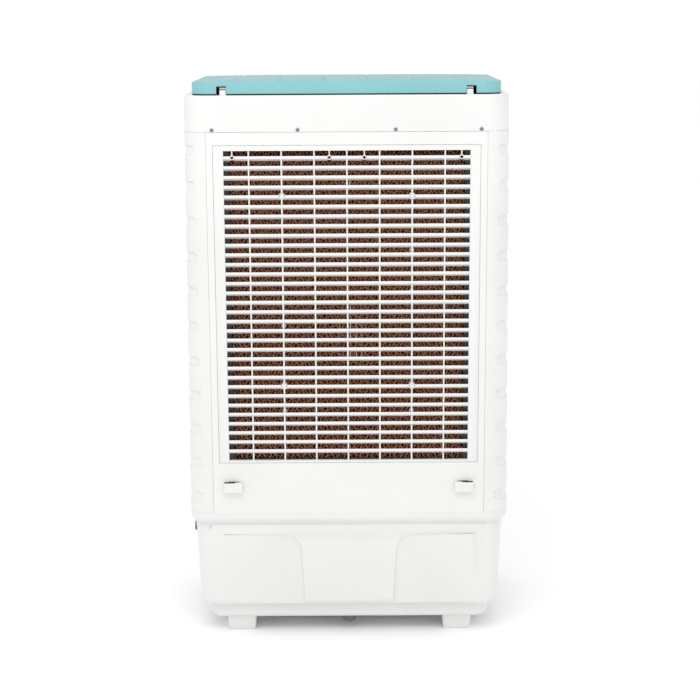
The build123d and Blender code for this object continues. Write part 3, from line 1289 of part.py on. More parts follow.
lid_outside = lid_form(0.0, DECK_Z + LID_FOOT_GAP)
lid_inside = lid_form(LID_WALL, DECK_Z)
lid_lowered = lid_outside.moved(Location((0, 0, -GROOVE_DEPTH)))

with BuildPart() as lid_grooves:
    for x in spread(6, GROOVE_PITCH):
        block(
            (x - GROOVE_WIDTH / 2, x + GROOVE_WIDTH / 2),
            (-LID_REAR + GROOVE_STOP, LID_REAR + 1),
            (LID_Z, LID_TOP + 1),
        )
    add(lid_lowered, mode=Mode.SUBTRACT)

with BuildPart() as lid:
    add(lid_outside)
    add(lid_grooves.part, mode=Mode.SUBTRACT)
    add(lid_inside, mode=Mode.SUBTRACT)
    for end in BOTH_SIDES:
        block(
            (-LID_HALF + LIFT_MARGIN, LID_HALF - LIFT_MARGIN),
            sorted((end * (LID_REAR - LID_CORNER), end * (LID_REAR + 1))),
            (DECK_Z, LID_Z),
            Mode.SUBTRACT,
        )
    for side in BOTH_SIDES:
        block(
            sorted((side * (LID_HALF - LID_CORNER), side * (LID_HALF + 1))),
            (LID_REAR - SKIRT_RELIEF, LID_REAR + 1),
            (DECK_Z, LID_Z),
            Mode.SUBTRACT,
        )
        block(
            sorted((side * (LUG_X - FIT_GAP), side * (LUG_X + NOTCH_WIDTH))),
            (LID_REAR - 2 * LUG_HALF - LUG_CLEARANCE, LID_REAR + 1),
            (DECK_Z, HINGE_Z + HINGE_PIN_RADIUS + LUG_CLEARANCE),
            Mode.SUBTRACT,
        )
        rib_x = sorted((side * (LUG_X - RIB_GAP), side * (LUG_X - RIB_GAP - RIB_THICKNESS)))
        with BuildSketch(Plane.YZ.offset(rib_x[0])):
            with Locations((HINGE_Y, HINGE_Z)):
                Circle(RIB_RADIUS)
            with Locations((HINGE_Y - RIB_RADIUS, (HINGE_Z + LID_Z + LID_EDGE) / 2)):
                Rectangle(2 * RIB_RADIUS, LID_Z + LID_EDGE - HINGE_Z)
            with Locations((HINGE_Y, HINGE_Z)):
                Circle(HINGE_PIN_RADIUS + RUNNING_GAP, mode=Mode.SUBTRACT)
        extrude(amount=RIB_THICKNESS)
save(lid, "lid")

with BuildPart() as hinge_pins:
    for side in BOTH_SIDES:
        pin_start = LUG_X - RIB_GAP - RIB_THICKNESS - PIN_HEAD
        rod(
            (side * pin_start, HINGE_Y, HINGE_Z),
            (side, 0, 0),
            HINGE_PIN_RADIUS,
            LUG_X + LUG_WIDTH - pin_start,
        )
save(hinge_pins, "hinge_pins")
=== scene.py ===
"""Looks of the evaporative room cooler: moulded plastic, louvres, a fluted paper pad and a teal lid.

Metres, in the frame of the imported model: +Z up, the louvred pad side faces +Y, the outlet faces -Y.
"""

import json
import math
import random

import bmesh
import bpy
from mathutils import Matrix, Vector


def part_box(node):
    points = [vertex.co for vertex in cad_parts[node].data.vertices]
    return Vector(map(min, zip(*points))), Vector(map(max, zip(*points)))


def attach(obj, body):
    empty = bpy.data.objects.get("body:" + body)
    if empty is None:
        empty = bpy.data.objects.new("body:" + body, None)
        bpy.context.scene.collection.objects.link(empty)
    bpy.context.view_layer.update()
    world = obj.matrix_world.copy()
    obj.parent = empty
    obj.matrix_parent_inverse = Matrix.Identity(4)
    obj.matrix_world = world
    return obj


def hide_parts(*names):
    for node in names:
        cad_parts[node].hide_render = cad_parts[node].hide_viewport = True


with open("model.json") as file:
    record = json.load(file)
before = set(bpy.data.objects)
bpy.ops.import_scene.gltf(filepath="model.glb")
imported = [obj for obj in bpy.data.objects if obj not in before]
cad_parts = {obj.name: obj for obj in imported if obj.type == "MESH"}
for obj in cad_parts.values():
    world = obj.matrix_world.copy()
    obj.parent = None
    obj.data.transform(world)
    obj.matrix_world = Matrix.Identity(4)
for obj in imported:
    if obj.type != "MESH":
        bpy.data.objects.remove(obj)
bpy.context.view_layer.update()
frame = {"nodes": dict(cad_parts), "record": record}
NODES = frame["nodes"]
MM = 0.001

# ---------------------------------------------------------------- sizes, in millimetres
SOFT_EDGE = 0.9  # rounding on moulded edges
CRISP_EDGE = 0.35
ROUNDED_FROM = math.radians(32.0)  # edges sharper than this are rounded

SHEET_PITCH = 5.9  # paper sheets across the pad
SHEET_WAVE = 14.0
SHEET_THICKNESS = 0.45
FLUTE_ANGLE = 42.0
WAVE_STEPS = 5  # segments in one wave

WIDE_FACE = 12.0  # faces wider than this are shaded flat
FLAT_WITHIN = math.radians(0.5)
LOW_STEP = 1.5  # a step this many roundings high or less stays as it is
SMALL_LOOP = 9.0  # edges round a hole under this many roundings across stay as they are

SCREW_RADIUS = 4.0
SCREW_RISE = 1.8
SCREW_LINES = (-1.0, -0.62, -0.13, 0.13, 0.62, 1.0)  # grid over a screw's head, its middle strips the cross
SCREW_RECESS = 1.1
SCREW_DOME = 0.45  # how far the head falls to its rim, as a share of its rise
SCREW_TURN = 1.1  # each screw is turned this much past the one before
CROSS_REACH = 0.7  # cells nearer the middle than this make the cross
CROSS_TAPER = 0.8
COVER_SCREWS = [(x, 220.0, 1069.2) for x in (-268.0, -97.5, 97.5, 268.0)]
GRILLE_SCREWS = [(x, 215.5, z) for x in (-131.0, 131.0) for z in (545.7, 936.0)]

OPENING = (247.0, 388.0, 1027.5)  # half width, bottom and top of the louvred opening
GRILLE_RIM = (267.7, 383.5, 1038.7)
GRILLE_FLANGE = (271.7, 379.5, 1042.7)
GRILLE_DEPTH = (208.0, 218.5)
FLANGE_DEPTH = (213.0, 216.0)
LOUVRES = (32, 1017.0, 19.503)  # how many, the top one's height, and their pitch
LOUVRE_LIP = 5.2
LOUVRE_DROP = 5.8
LOUVRE_THICKNESS = 2.2
LOUVRE_ROUND = 0.7
RIBS = (7, 65.5, 3.0)  # how many, pitch and width
EYELETS = (-229.3, -35.0, 35.0, 229.3)
EYELET_Z = 1013.9
EYELET = (4.8, 3.0, 2.5)  # radius, bore and depth
EYELET_GAP = 3.6  # from an eyelet's middle to the cut end of the top louvre, behind its rim
BORE_EDGE = 0.3  # roundings and overlaps on the grille
RIM_EDGE = 0.4
BOSS_EDGE = 0.6
RIB_ROUND = 0.5
STEM_HALF = 1.2
STEM_ROOT = 0.6  # how far an eyelet's stem runs into its rim
FRAME_OVERLAP = 1.0  # louvres and ribs run this far into the frame
BOSS = (6.25, 4.0, 3.0)  # radius, and the counterbore's radius and depth

FOOT_DRAFT = 2.5
FOOT_CORNER = 5.0
FOOT_EDGE = 1.8


# ---------------------------------------------------------------- shader arithmetic
class Wire:
    """A shader socket that takes part in sums. Each sum adds its Math node."""

    def __init__(self, finish, socket):
        self.finish = finish
        self.socket = socket

    def math(self, operation, *others, clamp=False):
        values = dict(enumerate((self, *others)))
        return self.finish.add("ShaderNodeMath", {"operation": operation, "use_clamp": clamp}, values)

    def __add__(self, other):
        return self.math("ADD", other)

    def __mul__(self, other):
        return self.math("MULTIPLY", other)

    def __sub__(self, other):
        return self.math("SUBTRACT", other)

    def __rsub__(self, other):
        return self.finish.add("ShaderNodeMath", {"operation": "SUBTRACT"}, {0: other, 1: self})

    def __pow__(self, other):
        return self.math("POWER", other)

    def band(self, low, high):
        """0 below low, 1 above high, and smooth in between."""
        settings = {"interpolation_type": "SMOOTHSTEP"}
        values = {"Value": self, "From Min": low, "From Max": high}
        return self.finish.add("ShaderNodeMapRange", settings, values)

    __radd__ = __add__
    __rmul__ = __mul__


class Finish:
    """A material around one Principled shader, with a single way to add any other node."""

    def __init__(self, name, **sockets):
        self.material = bpy.data.materials.new(name)
        self.material.use_nodes = True
        self.tree = self.material.node_tree
        self.shader = self.tree.nodes["Principled BSDF"]
        for key, value in sockets.items():
            self.shader.inputs[key.replace("_", " ").title().replace("Ior", "IOR")].default_value = value
        self.place = self.add("ShaderNodeTexCoord", output="Object")

    def add(self, kind, settings=None, values=None, output=None):
        """A node with its settings, then the values or links of its inputs. Returns one output as a Wire."""
        node = self.tree.nodes.new(kind)
        for key, value in (settings or {}).items():
            if key == "stops":
                self.set_stops(node.color_ramp, value)
            else:
                setattr(node, key, value)
        for key, value in (values or {}).items():
            if isinstance(value, Wire):
                self.tree.links.new(value.socket, node.inputs[key])
            else:
                node.inputs[key].default_value = value
        return Wire(self, node.outputs[output or 0])

    @staticmethod
    def set_stops(ramp, stops):
        while len(ramp.elements) < len(stops):
            ramp.elements.new(1.0)
        for element, (position, colour) in zip(ramp.elements, stops):
            element.position = position
            element.color = colour

    def noise(self, size, detail=3.0, roughness=0.5, stretch=(1, 1, 1), place=None, output=0):
        """Noise whose features are about size millimetres across."""
        scaled = self.add("ShaderNodeMapping", None, {"Vector": place or self.place, "Scale": stretch})
        values = {"Vector": scaled, "Scale": 1.0 / (size * MM), "Detail": detail, "Roughness": roughness}
        return self.add("ShaderNodeTexNoise", None, values, output)

    def blend(self, factor, first, second, blend_type="MIX"):
        """Mixes two colours."""
        settings = {"data_type": "RGBA", "blend_type": blend_type}
        return self.add("ShaderNodeMix", settings, {0: factor, 6: first, 7: second}, output=2)

    def height(self, part="Z"):
        return self.add("ShaderNodeSeparateXYZ", None, {0: self.place}, output=part)

    def facing(self, part="Z"):
        """How far the surface faces along an axis."""
        normal = self.add("ShaderNodeNewGeometry", output="Normal")
        return self.add("ShaderNodeSeparateXYZ", None, {0: normal}, output=part)

    def bump(self, height, depth, strength=1.0, normal=None):
        """A Bump node for a height from 0 to 1 that stands for depth millimetres."""
        values = {"Height": height, "Distance": depth * MM, "Strength": strength}
        if normal:
            values["Normal"] = normal
        return self.add("ShaderNodeBump", None, values)

    def set(self, **wires):
        for key, wire in wires.items():
            self.tree.links.new(wire.socket, self.shader.inputs[key.replace("_", " ").title()])
        return self.material


def shade(colour, factor):
    """A colour made lighter or darker, as RGBA."""
    return (colour[0] * factor, colour[1] * factor, colour[2] * factor, 1.0)


# ---------------------------------------------------------------- finishes
DUST = (0.50, 0.47, 0.42)


def moulded_plastic(name, colour, gloss=0.34, grain=0.02, top_tint_amount=0.0, age=0.03, dust_and_shade_colour=DUST):
    """Injection-moulded plastic: a fine spark-eroded grain, slow waviness, faint tone changes, and a film colour
    blended onto upward faces. A pale film colour is settled dust; one darker than the plastic, as on the teal, is
    painted shade on the top faces.
    """
    finish = Finish(name, roughness=gloss, ior=1.5)
    tone = finish.noise(260, detail=2.0)
    mottle = finish.noise(9, detail=4.0, roughness=0.6)
    tone_dust_and_shade = finish.blend(tone.band(0.35, 0.65), shade(colour, 1.0), shade(colour, 1.0 - age))
    tone_dust_and_shade = finish.blend(mottle.band(0.45, 0.8) * 0.35, tone_dust_and_shade, shade(colour, 1.0 - 1.6 * age))
    # Upward faces take the film colour: settled dust when it is pale, painted shade on the top faces when it is
    # darker than the plastic.
    if top_tint_amount:
        top_faces_dust_and_shade = finish.facing().band(0.35, 0.95)
        patches = finish.noise(45, detail=5.0, roughness=0.65).band(0.30, 0.75) * 0.4 + 0.6
        tone_dust_and_shade = finish.blend(top_faces_dust_and_shade * patches * top_tint_amount, tone_dust_and_shade, (*dust_and_shade_colour, 1.0))
    fine = finish.noise(0.9, detail=2.0)
    slow = finish.noise(70, detail=1.0)
    waved = finish.bump(slow, 0.35, 0.35)
    rough = (mottle.band(0.3, 0.7) * 0.08) + (fine * 0.05) + (gloss - 0.06)
    return finish.set(base_color=tone_dust_and_shade, roughness=rough, normal=finish.bump(fine, grain, 0.6, waved))


def pad_paper_painted_light_and_shade():
    """Kraft paper soaked in resin: brown and fibrous, with limescale on its front face. Its colour is paler over
    the front few millimetres and darker deeper in: painted light on the front edges and painted shade down the
    flutes.
    """
    finish = Finish("pad_paper_painted_light_and_shade", roughness=0.62, ior=1.46)
    fibre = finish.noise(2.2, detail=6.0, roughness=0.7, stretch=(1, 0.35, 1))
    sheet = finish.noise(24, detail=3.0, roughness=0.6)
    brown = finish.blend(fibre.band(0.3, 0.7), (0.045, 0.010, 0.003, 1), (0.170, 0.046, 0.013, 1))
    brown = finish.blend(sheet.band(0.35, 0.7) * 0.6, brown, (0.240, 0.072, 0.022, 1))
    # Painted light and shade: near the front face the paper is blended towards a pale tan, deeper into the flutes
    # it stays dark brown.
    depth = finish.height("Y").band(PAD_REAR - 4.0 * MM, PAD_REAR - 0.3 * MM)
    painted_depth_colour = finish.blend(depth * 0.85, brown, (0.62, 0.290, 0.150, 1))
    limescale = finish.noise(38, detail=5.0, roughness=0.7).band(0.60, 0.78) * depth * 0.22
    painted_depth_colour = finish.blend(limescale, painted_depth_colour, (0.66, 0.50, 0.38, 1))
    return finish.set(
        base_color=painted_depth_colour,
        roughness=fibre * 0.25 + 0.48,
        normal=finish.bump(fibre, 0.25, 0.7),
    )


def bare_metal(name, colour, roughness=0.32, brushed=(1, 1, 0.05)):
    """Turned or plated steel with fine drawn lines and dulled patches."""
    finish = Finish(name, metallic=1.0, roughness=roughness)
    lines = finish.noise(0.7, detail=3.0, stretch=brushed)
    stain = finish.noise(12, detail=5.0, roughness=0.65)
    tone = finish.blend(stain.band(0.45, 0.75) * 0.5, shade(colour, 1.0), shade(colour, 0.6))
    rough = lines * 0.12 + stain.band(0.4, 0.8) * 0.16 + (roughness - 0.1)
    return finish.set(base_color=tone, roughness=rough, normal=finish.bump(lines, 0.02, 0.5))


def enamel(name, colour, roughness=0.38):
    """Sprayed metal paint with orange peel and a little settled dust."""
    finish = Finish(name, roughness=roughness)
    peel = finish.noise(1.6, detail=2.0)
    top_tint_amount = finish.noise(20, detail=5.0, roughness=0.7).band(0.5, 0.8) * finish.facing().band(0.0, 0.8)
    tone = finish.blend(top_tint_amount * 0.35, shade(colour, 1.0), (0.32, 0.30, 0.27, 1.0))
    return finish.set(base_color=tone, roughness=top_tint_amount * 0.3 + roughness, normal=finish.bump(peel, 0.06, 0.5))


def soft_rubber(name, colour):
    """Matt hose rubber with a fine cloth imprint along its length."""
    finish = Finish(name, roughness=0.6)
    imprint = finish.noise(1.2, detail=3.0, stretch=(1, 1, 0.3))
    chalk = finish.noise(18, detail=4.0).band(0.5, 0.8)
    tone = finish.blend(chalk * 0.3, shade(colour, 1.0), shade(colour, 2.6))
    return finish.set(base_color=tone, roughness=imprint * 0.2 + 0.5, normal=finish.bump(imprint, 0.08, 0.6))


def clear_plastic(name, colour, alpha):
    """Clear moulding with faint flow lines. Its thickness is told by a tint and a part-clear surface."""
    finish = Finish(name, roughness=0.12, ior=1.49)
    flow = finish.noise(14, detail=3.0, stretch=(1, 1, 0.25))
    tone = finish.blend(flow.band(0.3, 0.7), shade(colour, 1.0), shade(colour, 0.85))
    return finish.set(
        base_color=tone,
        alpha=flow.band(0.2, 0.8) * 0.08 + alpha,
        normal=finish.bump(flow, 0.15, 0.4),
    )


# ---------------------------------------------------------------- making pieces
def as_piece(name, mesh, body, finish, *replaced, slot=None):
    """Links a mesh that is already in place, and ties it to a body."""
    piece = bpy.data.objects.new(name, mesh)
    bpy.context.scene.collection.objects.link(piece)
    mesh.materials.clear()
    mesh.materials.append(finish)
    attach(piece, body)
    if replaced:
        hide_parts(*replaced)
    return piece


def node_body(node):
    return next(body for body, members in frame["record"]["behaviour"]["bodies"].items() if node in members)


def node_slot(node):
    return next(row["material_slot"] for row in frame["record"]["subparts"] if row["node"] == node)


def merged(node):
    """A node's mesh as a bmesh with its loose triangles joined up and its flat faces made whole."""
    bm = bmesh.new()
    bm.from_mesh(NODES[node].data)
    bmesh.ops.remove_doubles(bm, verts=bm.verts, dist=0.01 * MM)
    bmesh.ops.dissolve_limit(bm, angle_limit=math.radians(0.3), verts=bm.verts, edges=bm.edges)
    return bm


def weigh_edges(bm, edge):
    """Marks the sharp edges to be rounded, but not a small hole's rim or the edge of a very low step."""
    weight = bm.edges.layers.float.new("bevel_weight_edge")
    sharp = {e for e in bm.edges if len(e.link_faces) == 2 and e.calc_face_angle(0.0) > ROUNDED_FROM}
    low = LOW_STEP * edge * MM
    sharp = {e for e in sharp if min(f.calc_area() for f in e.link_faces) > low * e.calc_length()}
    while sharp:
        chain = [sharp.pop()]
        for e in chain:
            joined = {n for v in e.verts for n in v.link_edges} & sharp
            sharp -= joined
            chain.extend(joined)
        corners = [v.co for e in chain for v in e.verts]
        span = max(max(c[i] for c in corners) - min(c[i] for c in corners) for i in range(3))
        if span > SMALL_LOOP * edge * MM:
            for e in chain:
                e[weight] = 1.0


def shade_faces(bm):
    """Smooth shading on the narrow strips of curved walls, flat shading on plane faces."""
    for face in bm.faces:
        narrow = 2 * face.calc_area() < WIDE_FACE * MM * face.calc_perimeter()
        face.smooth = narrow and any(FLAT_WITHIN < e.calc_face_angle(0.0) < ROUNDED_FROM for e in face.edges)


def moulded_copy(node, finish, edge=SOFT_EDGE, segments=2):
    """Stands for a node with the same shape, its edges rounded as a mould rounds them."""
    bm = merged(node)
    weigh_edges(bm, edge)
    shade_faces(bm)
    mesh = bpy.data.meshes.new(f"{node}_mesh")
    bm.to_mesh(mesh)
    bm.free()
    mesh.set_sharp_from_angle(angle=ROUNDED_FROM)
    piece = as_piece(f"{node}_moulding", mesh, node_body(node), finish, node, slot=node_slot(node))
    rounding = piece.modifiers.new("rounded edges", "BEVEL")
    rounding.width = edge * MM
    rounding.segments = segments
    rounding.limit_method = "WEIGHT"
    rounding.use_clamp_overlap = False
    return piece


def bevelled(bm, edges, width, segments=2):
    """Rounds edges by width millimetres."""
    bmesh.ops.bevel(
        bm,
        geom=list(edges),
        offset=width * MM,
        offset_type="OFFSET",
        segments=segments,
        profile=0.5,
        affect="EDGES",
        material=-1,
        clamp_overlap=True,
    )


def new_vertices(result):
    return [v for v in result["geom"] if isinstance(v, bmesh.types.BMVert)]


def drawn_out(bm, faces, reach):
    """Pulls flat faces into a closed solid. Returns the vertices of its far end."""
    far = new_vertices(bmesh.ops.extrude_face_region(bm, geom=faces))
    bmesh.ops.translate(bm, vec=Vector(reach) * MM, verts=far)
    return far


def bar(bm, profile, low_x, high_x, rounding):
    """A straight bar along X with a profile of (y, z) pairs, its long edges rounded."""
    end = bm.faces.new([bm.verts.new(Vector((low_x, y, z)) * MM) for y, z in profile])
    far = set(drawn_out(bm, [end], (high_x - low_x, 0, 0)))
    bevelled(bm, {e for v in far for e in v.link_edges if not set(e.verts) <= far}, rounding)


def open_frame(bm, outer, opening, depth, rounding):
    """A flat frame round an opening, both as (half width, bottom, top), its outward edges rounded."""
    before = set(bm.verts)
    middle = bmesh.ops.create_grid(bm, x_segments=1, y_segments=1, size=1)["verts"][0].link_faces[0]
    bmesh.ops.inset_region(bm, faces=[middle], thickness=0.5, use_boundary=True)
    sheet = [v for v in bm.verts if v not in before]
    band = [f for f in {f for v in sheet for f in v.link_faces} if f != middle]
    inner = set(middle.verts)
    for v in sheet:
        half, bottom, top = opening if v in inner else outer
        v.co = Vector((math.copysign(half, v.co.x), depth[1], top if v.co.y > 0 else bottom)) * MM
    bmesh.ops.delete(bm, geom=[middle], context="FACES_ONLY")
    far = set(drawn_out(bm, band, (0, depth[0] - depth[1], 0)))
    front = {e for f in band if f.is_valid for e in f.edges}
    near = {v for e in front for v in e.verts} - far
    rims = {e for v in near for e in v.link_edges if set(e.verts) <= near and e.calc_face_angle(0.0) > 1.0}
    bevelled(bm, rims, rounding)


def turned(bm, outline, centre, axis, steps=32):
    """Spins an outline of (radius, height) pairs round an axis through centre."""
    before = set(bm.verts)
    turn = Vector((0, 0, 1)).rotation_difference(Vector(axis)).to_matrix().to_4x4()
    place = Matrix.Translation(centre) @ turn
    rim = [bm.verts.new(place @ Vector((r * MM, 0, h * MM))) for r, h in outline]
    edges = [bm.edges.new(pair) for pair in zip(rim, rim[1:])]
    bmesh.ops.spin(
        bm,
        geom=rim + edges,
        cent=centre,
        axis=axis,
        angle=math.tau,
        steps=steps,
        use_merge=True,
        use_duplicate=False,
    )
    added = [v for v in bm.verts if v not in before]
    bmesh.ops.remove_doubles(bm, verts=added, dist=0.002 * MM)
    return [v for v in added if v.is_valid]


def finish_bmesh(bm, name, smooth_angle=35.0):
    """Turns a bmesh into a mesh with outward faces and creases kept crisp."""
    bmesh.ops.recalc_face_normals(bm, faces=bm.faces)
    mesh = bpy.data.meshes.new(name)
    bm.to_mesh(mesh)
    bm.free()
    mesh.shade_smooth()
    mesh.set_sharp_from_angle(angle=math.radians(smooth_angle))
    return mesh


# ---------------------------------------------------------------- the fluted pad
def fluted_pad(finish):
    """Glued sheets of fluted paper: neighbours' flutes cross, one set rising and the other falling inwards."""
    low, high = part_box("honeycomb_pad")
    width, depth, tall = high - low
    count = int(width / (SHEET_PITCH * MM))
    pitch = width / count
    slant = math.tan(math.radians(FLUTE_ANGLE)) * depth
    steps = int((tall + 2 * slant) / (SHEET_WAVE * MM) * WAVE_STEPS)
    dice = random.Random(7)
    bm = bmesh.new()
    for i in range(count):
        sheet = bmesh.ops.create_grid(bm, x_segments=1, y_segments=steps, size=0.5)["verts"]
        lean = slant if i % 2 else -slant
        shift = dice.uniform(-0.25, 0.25) + (0.5 if i % 4 > 1 else 0.0)
        middle = low.x + (i + 0.5) * pitch
        for v in sheet:
            inward, along = 0.5 - v.co.x, v.co.y * (tall + 2 * slant)
            wave = math.sin((along / (SHEET_WAVE * MM) + shift) * math.tau)
            v.co = Vector(
                (
                    middle + wave * (pitch / 2 - 0.2 * MM),
                    high.y - inward * depth,
                    (low.z + high.z) / 2 + along + lean * (inward - 0.5),
                )
            )
    for height, side in ((low.z, -1), (high.z, 1)):
        geometry = bm.verts[:] + bm.edges[:] + bm.faces[:]
        bmesh.ops.bisect_plane(bm, geom=geometry, plane_co=(0, 0, height), plane_no=(0, 0, side), clear_outer=True)
    mesh = bpy.data.meshes.new("fluted_pad")
    bm.to_mesh(mesh)
    bm.free()
    mesh.shade_smooth()
    piece = as_piece("fluted_pad", mesh, "cooler", finish, "honeycomb_pad", slot="pad_paper")
    wall = piece.modifiers.new("paper thickness", "SOLIDIFY")
    wall.thickness = SHEET_THICKNESS * MM
    wall.offset = 0
    return piece


# ---------------------------------------------------------------- screws
def cross_head_screws(name, node, centres, finish, turn=0.4):
    """Pan heads with a cross recess. centres are the middles of the heads' undersides, facing +Y."""
    cells = len(SCREW_LINES) - 1
    bm = bmesh.new()
    for centre in centres:
        before = set(bm.verts)
        head = bmesh.ops.create_grid(bm, x_segments=cells, y_segments=cells, size=1)["verts"]
        for v in head:
            x, y = (SCREW_LINES[round((c + 1) * cells / 2)] for c in v.co.xy)
            v.co = Vector((x * math.sqrt(1 - y * y / 2), y * math.sqrt(1 - x * x / 2), 0))
            v.co.z = 1.0 - SCREW_DOME * v.co.length_squared
        faces = list({f for v in head for f in v.link_faces})
        rim = [e for e in {e for v in head for e in v.link_edges} if e.is_boundary]
        middle = sorted(faces, key=lambda f: min(abs(c) for c in f.calc_center_median().xy))
        arms = [f for f in middle[: 2 * cells - 1] if f.calc_center_median().xy.length < CROSS_REACH]
        foot = new_vertices(bmesh.ops.extrude_edge_only(bm, edges=rim))
        for v in foot:
            v.co.z = 0.0
        open_edges = {e for v in foot for e in v.link_edges if e.is_boundary}
        bmesh.ops.contextual_create(bm, geom=list(open_edges))
        for v in new_vertices(bmesh.ops.extrude_face_region(bm, geom=arms)):
            v.co.xy *= CROSS_TAPER
            v.co.z -= SCREW_RECESS / SCREW_RISE
        whole = [v for v in bm.verts if v not in before]
        size = Matrix.Diagonal((SCREW_RADIUS * MM, SCREW_RADIUS * MM, SCREW_RISE * MM, 1))
        stand = Matrix.Translation(Vector(centre) * MM) @ Matrix.Rotation(-math.pi / 2, 4, "X")
        bmesh.ops.transform(bm, matrix=stand @ Matrix.Rotation(turn, 4, "Z") @ size, verts=whole)
        turn += SCREW_TURN
    return as_piece(name, finish_bmesh(bm, name, 40.0), "cooler", finish, node, slot=node_slot(node))


# ---------------------------------------------------------------- rear grille and feet
def louvred_grille(finish):
    """Frame, sloping louvres with upright lips, ribs behind the lips, eyelets and screw bosses."""
    back, face = GRILLE_DEPTH
    bm = bmesh.new()
    open_frame(bm, GRILLE_RIM, OPENING, GRILLE_DEPTH, 0.6)
    open_frame(bm, GRILLE_FLANGE, GRILLE_RIM, FLANGE_DEPTH, 0.2)
    count, top, pitch = LOUVRES
    for i in range(count):
        z = top - i * pitch
        foot = z - LOUVRE_LIP - LOUVRE_DROP
        profile = [
            (face, z),
            (face, z - LOUVRE_LIP),
            (back, foot),
            (back, foot + LOUVRE_THICKNESS),
            (face - LOUVRE_THICKNESS, z),
        ]
        stops = [-OPENING[0] - FRAME_OVERLAP, OPENING[0] + FRAME_OVERLAP]
        if i == 0:
            stops = sorted(stops + [x + d for x in EYELETS for d in (-EYELET_GAP, EYELET_GAP)])
        for low_x, high_x in zip(stops[::2], stops[1::2]):
            bar(bm, profile, low_x, high_x, LOUVRE_ROUND)
    count, pitch, width = RIBS
    for i in range(count):
        x = (i - (count - 1) / 2) * pitch
        low = (x - width / 2, back, OPENING[1] - FRAME_OVERLAP)
        high = (x + width / 2, face - LOUVRE_THICKNESS, OPENING[2] + FRAME_OVERLAP)
        block(bm, low, high, RIB_ROUND)
    radius, bore, depth = EYELET
    for x in EYELETS:
        ring = [(bore, -BORE_EDGE), (bore + BORE_EDGE, 0), (radius - RIM_EDGE, 0), (radius, -RIM_EDGE)]
        ring += [(radius, -depth), (bore, -depth), (bore, -BORE_EDGE)]
        turned(bm, ring, Vector((x, face, EYELET_Z)) * MM, (0, 1, 0), steps=28)
        low = (x - STEM_HALF, face - depth, EYELET_Z + radius - STEM_ROOT)
        block(bm, low, (x + STEM_HALF, face - 0.1, OPENING[2] + FRAME_OVERLAP), BORE_EDGE)
    radius, bore, sink = BOSS
    cup = [(0, -sink), (bore, -sink), (bore, -RIM_EDGE), (bore + RIM_EDGE, 0)]
    cup += [(radius - BOSS_EDGE, 0), (radius, -BOSS_EDGE), (radius, back - face), (0, back - face)]
    for x, _, z in GRILLE_SCREWS:
        turned(bm, cup, Vector((x, face, z)) * MM, (0, 1, 0), steps=32)
    mesh = finish_bmesh(bm, "louvred_grille")
    return as_piece("louvred_grille", mesh, "cooler", finish, "rear_grille", slot=node_slot("rear_grille"))


def block(bm, low, high, rounding):
    """A block between two corners with its upright edges rounded."""
    low, high = Vector(low) * MM, Vector(high) * MM
    place = Matrix.Translation((low + high) / 2) @ Matrix.Diagonal((*(high - low), 1))
    cube = bmesh.ops.create_cube(bm, size=1, matrix=place)["verts"]
    edges = {e for v in cube for e in v.link_edges}
    bevelled(bm, [e for e in edges if abs(e.verts[0].co.z - e.verts[1].co.z) > 0.1 * MM], rounding)


def tapered_foot(node, finish):
    """A moulded foot, narrower at the floor, with rounded corners and a soft lower edge."""
    low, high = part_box(node)
    bm = bmesh.new()
    place = Matrix.Translation((low + high) / 2) @ Matrix.Diagonal((*(high - low), 1))
    cube = bmesh.ops.create_cube(bm, size=1, matrix=place)["verts"]
    middle = (low + high) / 2
    for v in cube:
        if v.co.z < middle.z:
            v.co.x -= math.copysign(FOOT_DRAFT * MM, v.co.x - middle.x)
            v.co.y -= math.copysign(FOOT_DRAFT * MM, v.co.y - middle.y)
    upright = {e for v in cube for e in v.link_edges if abs(e.verts[0].co.z - e.verts[1].co.z) > 5 * MM}
    bevelled(bm, upright, FOOT_CORNER, 5)
    rim = [e for e in bm.edges if all(v.co.z < low.z + 0.1 * MM for v in e.verts)]
    bevelled(bm, rim, FOOT_EDGE, 3)
    name = f"{node}_moulding"
    return as_piece(name, finish_bmesh(bm, name), node_body(node), finish, node, slot=node_slot(node))


# ---------------------------------------------------------------- the finishes in use
PAD_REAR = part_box("honeycomb_pad")[1].y
WHITE = (0.765, 0.765, 0.753)
TEAL = (0.212, 0.502, 0.523)
BLACK = (0.018, 0.018, 0.019)
GREY = (0.125, 0.130, 0.133)

white = moulded_plastic("white_moulding", WHITE, gloss=0.36, top_tint_amount=0.10)
white_grille = moulded_plastic("white_grille_moulding", shade(WHITE, 1.02)[:3], gloss=0.40, grain=0.01)
# The teal's film is darker and greyer than the teal itself: painted shade on its upward faces, not dust.
teal = moulded_plastic("teal_moulding", TEAL, gloss=0.42, top_tint_amount=0.62, age=0.05, dust_and_shade_colour=(0.165, 0.265, 0.300))
black = moulded_plastic("black_moulding", BLACK, gloss=0.45, top_tint_amount=0.15)
grey = moulded_plastic("grey_moulding", GREY, gloss=0.5, top_tint_amount=0.2)
pad_paper = pad_paper_painted_light_and_shade()
zinc = bare_metal("zinc_plated_steel", (0.36, 0.44, 0.53), 0.38)
steel = bare_metal("turned_steel", (0.42, 0.38, 0.34), 0.36)
galvanised = bare_metal("galvanised_sheet", (0.50, 0.52, 0.54), 0.45, (1, 1, 1))
motor_enamel = enamel("motor_enamel", (0.030, 0.032, 0.036))
hose_rubber = soft_rubber("hose_rubber", (0.02, 0.02, 0.021))
window = clear_plastic("window_clear", (0.75, 0.86, 0.88), 0.35)

BY_SLOT = {
    "white_plastic": white,
    "teal_plastic": teal,
    "black_plastic": black,
    "grey_plastic": grey,
    "clear_plastic": window,
    "pad_paper": pad_paper,
    "zinc_steel": zinc,
    "steel": steel,
    "galvanised": galvanised,
    "motor_paint": motor_enamel,
    "hose_rubber": hose_rubber,
}

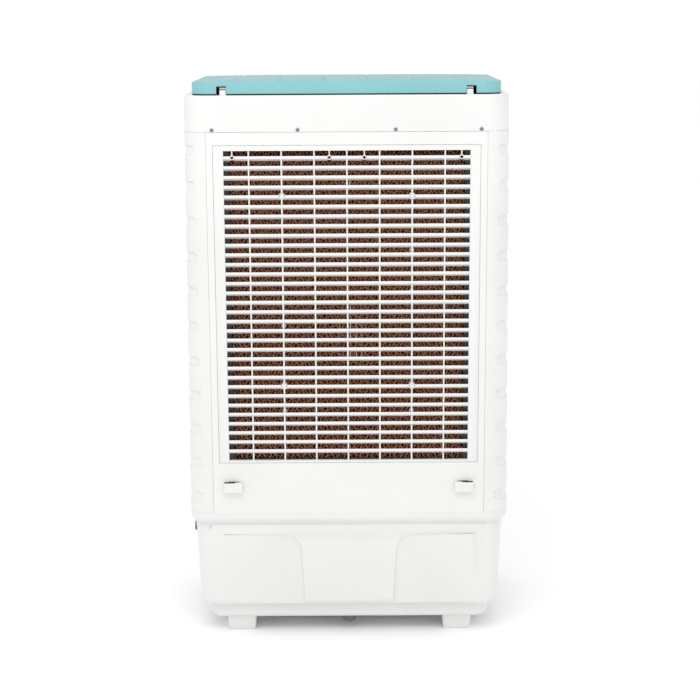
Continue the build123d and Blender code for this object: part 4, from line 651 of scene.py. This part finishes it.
# ---------------------------------------------------------------- pieces
fluted_pad(pad_paper)
louvred_grille(white_grille)
cross_head_screws("cover_screw_heads", "cover_screws", COVER_SCREWS, zinc)
cross_head_screws("grille_screw_heads", "grille_screws", GRILLE_SCREWS, white_grille)
MADE = {"honeycomb_pad", "rear_grille", "cover_screws", "grille_screws"}

EDGES = {
    "water_tank": 0.7,
    "body_housing": 0.6,
    "top_cover": 1.2,
    "lid": 0.8,
    "rear_panel": 0.2,
    "rear_latch_left": 0.6,
    "rear_latch_right": 0.6,
    "outlet_bezel": 1.0,
    "control_fascia": 0.7,
    "ice_tray": 0.8,
    "fan_shroud": 0.6,
    "fan_knob": 0.6,
    "pump_knob": 0.6,
    "swing_knob": 0.6,
}
for node in list(NODES):
    if node in MADE:
        continue
    finish = white_grille if node == "rear_panel" else BY_SLOT[node_slot(node)]
    if node.startswith("foot_"):
        tapered_foot(node, finish)
    else:
        moulded_copy(node, finish, EDGES.get(node, CRISP_EDGE))


# ---------------------------------------------------------------- floor, light and camera
def studio():
    """Pale floor, soft light from above and a bright even surround."""
    bm = bmesh.new()
    bmesh.ops.create_grid(bm, x_segments=1, y_segments=1, size=30)
    floor_mesh = bpy.data.meshes.new("floor")
    bm.to_mesh(floor_mesh)
    bm.free()
    floor = bpy.data.objects.new("floor", floor_mesh)
    bpy.context.scene.collection.objects.link(floor)
    floor_paint = Finish("floor_paint", roughness=0.9)
    floor_paint.shader.inputs["Base Color"].default_value = (0.97, 0.97, 0.97, 1)
    floor_mesh.materials.append(floor_paint.material)

    world = bpy.data.worlds.new("surround")
    bpy.context.scene.world = world
    world.use_nodes = True
    backdrop = world.node_tree.nodes["Background"]
    backdrop.inputs["Color"].default_value = (1.0, 1.0, 1.0, 1)
    backdrop.inputs["Strength"].default_value = 1.04

    def softbox(name, place, target, size, power):
        lamp = bpy.data.lights.new(name, "AREA")
        lamp.shape = "RECTANGLE"
        lamp.size, lamp.size_y = size
        lamp.energy = power
        box = bpy.data.objects.new(name, lamp)
        bpy.context.scene.collection.objects.link(box)
        box.location = place
        box.rotation_euler = (Vector(target) - Vector(place)).to_track_quat("-Z", "Y").to_euler()

    softbox("overhead", (0.25, 1.5, 2.3), (0, 0.2, 0.75), (1.6, 1.0), 13)

    scene = bpy.context.scene
    scene.view_settings.view_transform = "Standard"
    scene.view_settings.look = "None"

    lens = bpy.data.cameras.new("camera")
    lens.sensor_width = 36.0
    lens.lens = 82.85
    camera = bpy.data.objects.new("camera", lens)
    scene.collection.objects.link(camera)
    aim = Matrix.Rotation(math.pi, 4, "Z") @ Matrix.Rotation(math.radians(90 - 11.75), 4, "X")
    camera.matrix_world = (
        Matrix.Translation((-0.0044, 3.441, 1.292)) @ aim @ Matrix.Rotation(math.radians(-0.30), 4, "Z")
    )
    scene.camera = camera


studio()
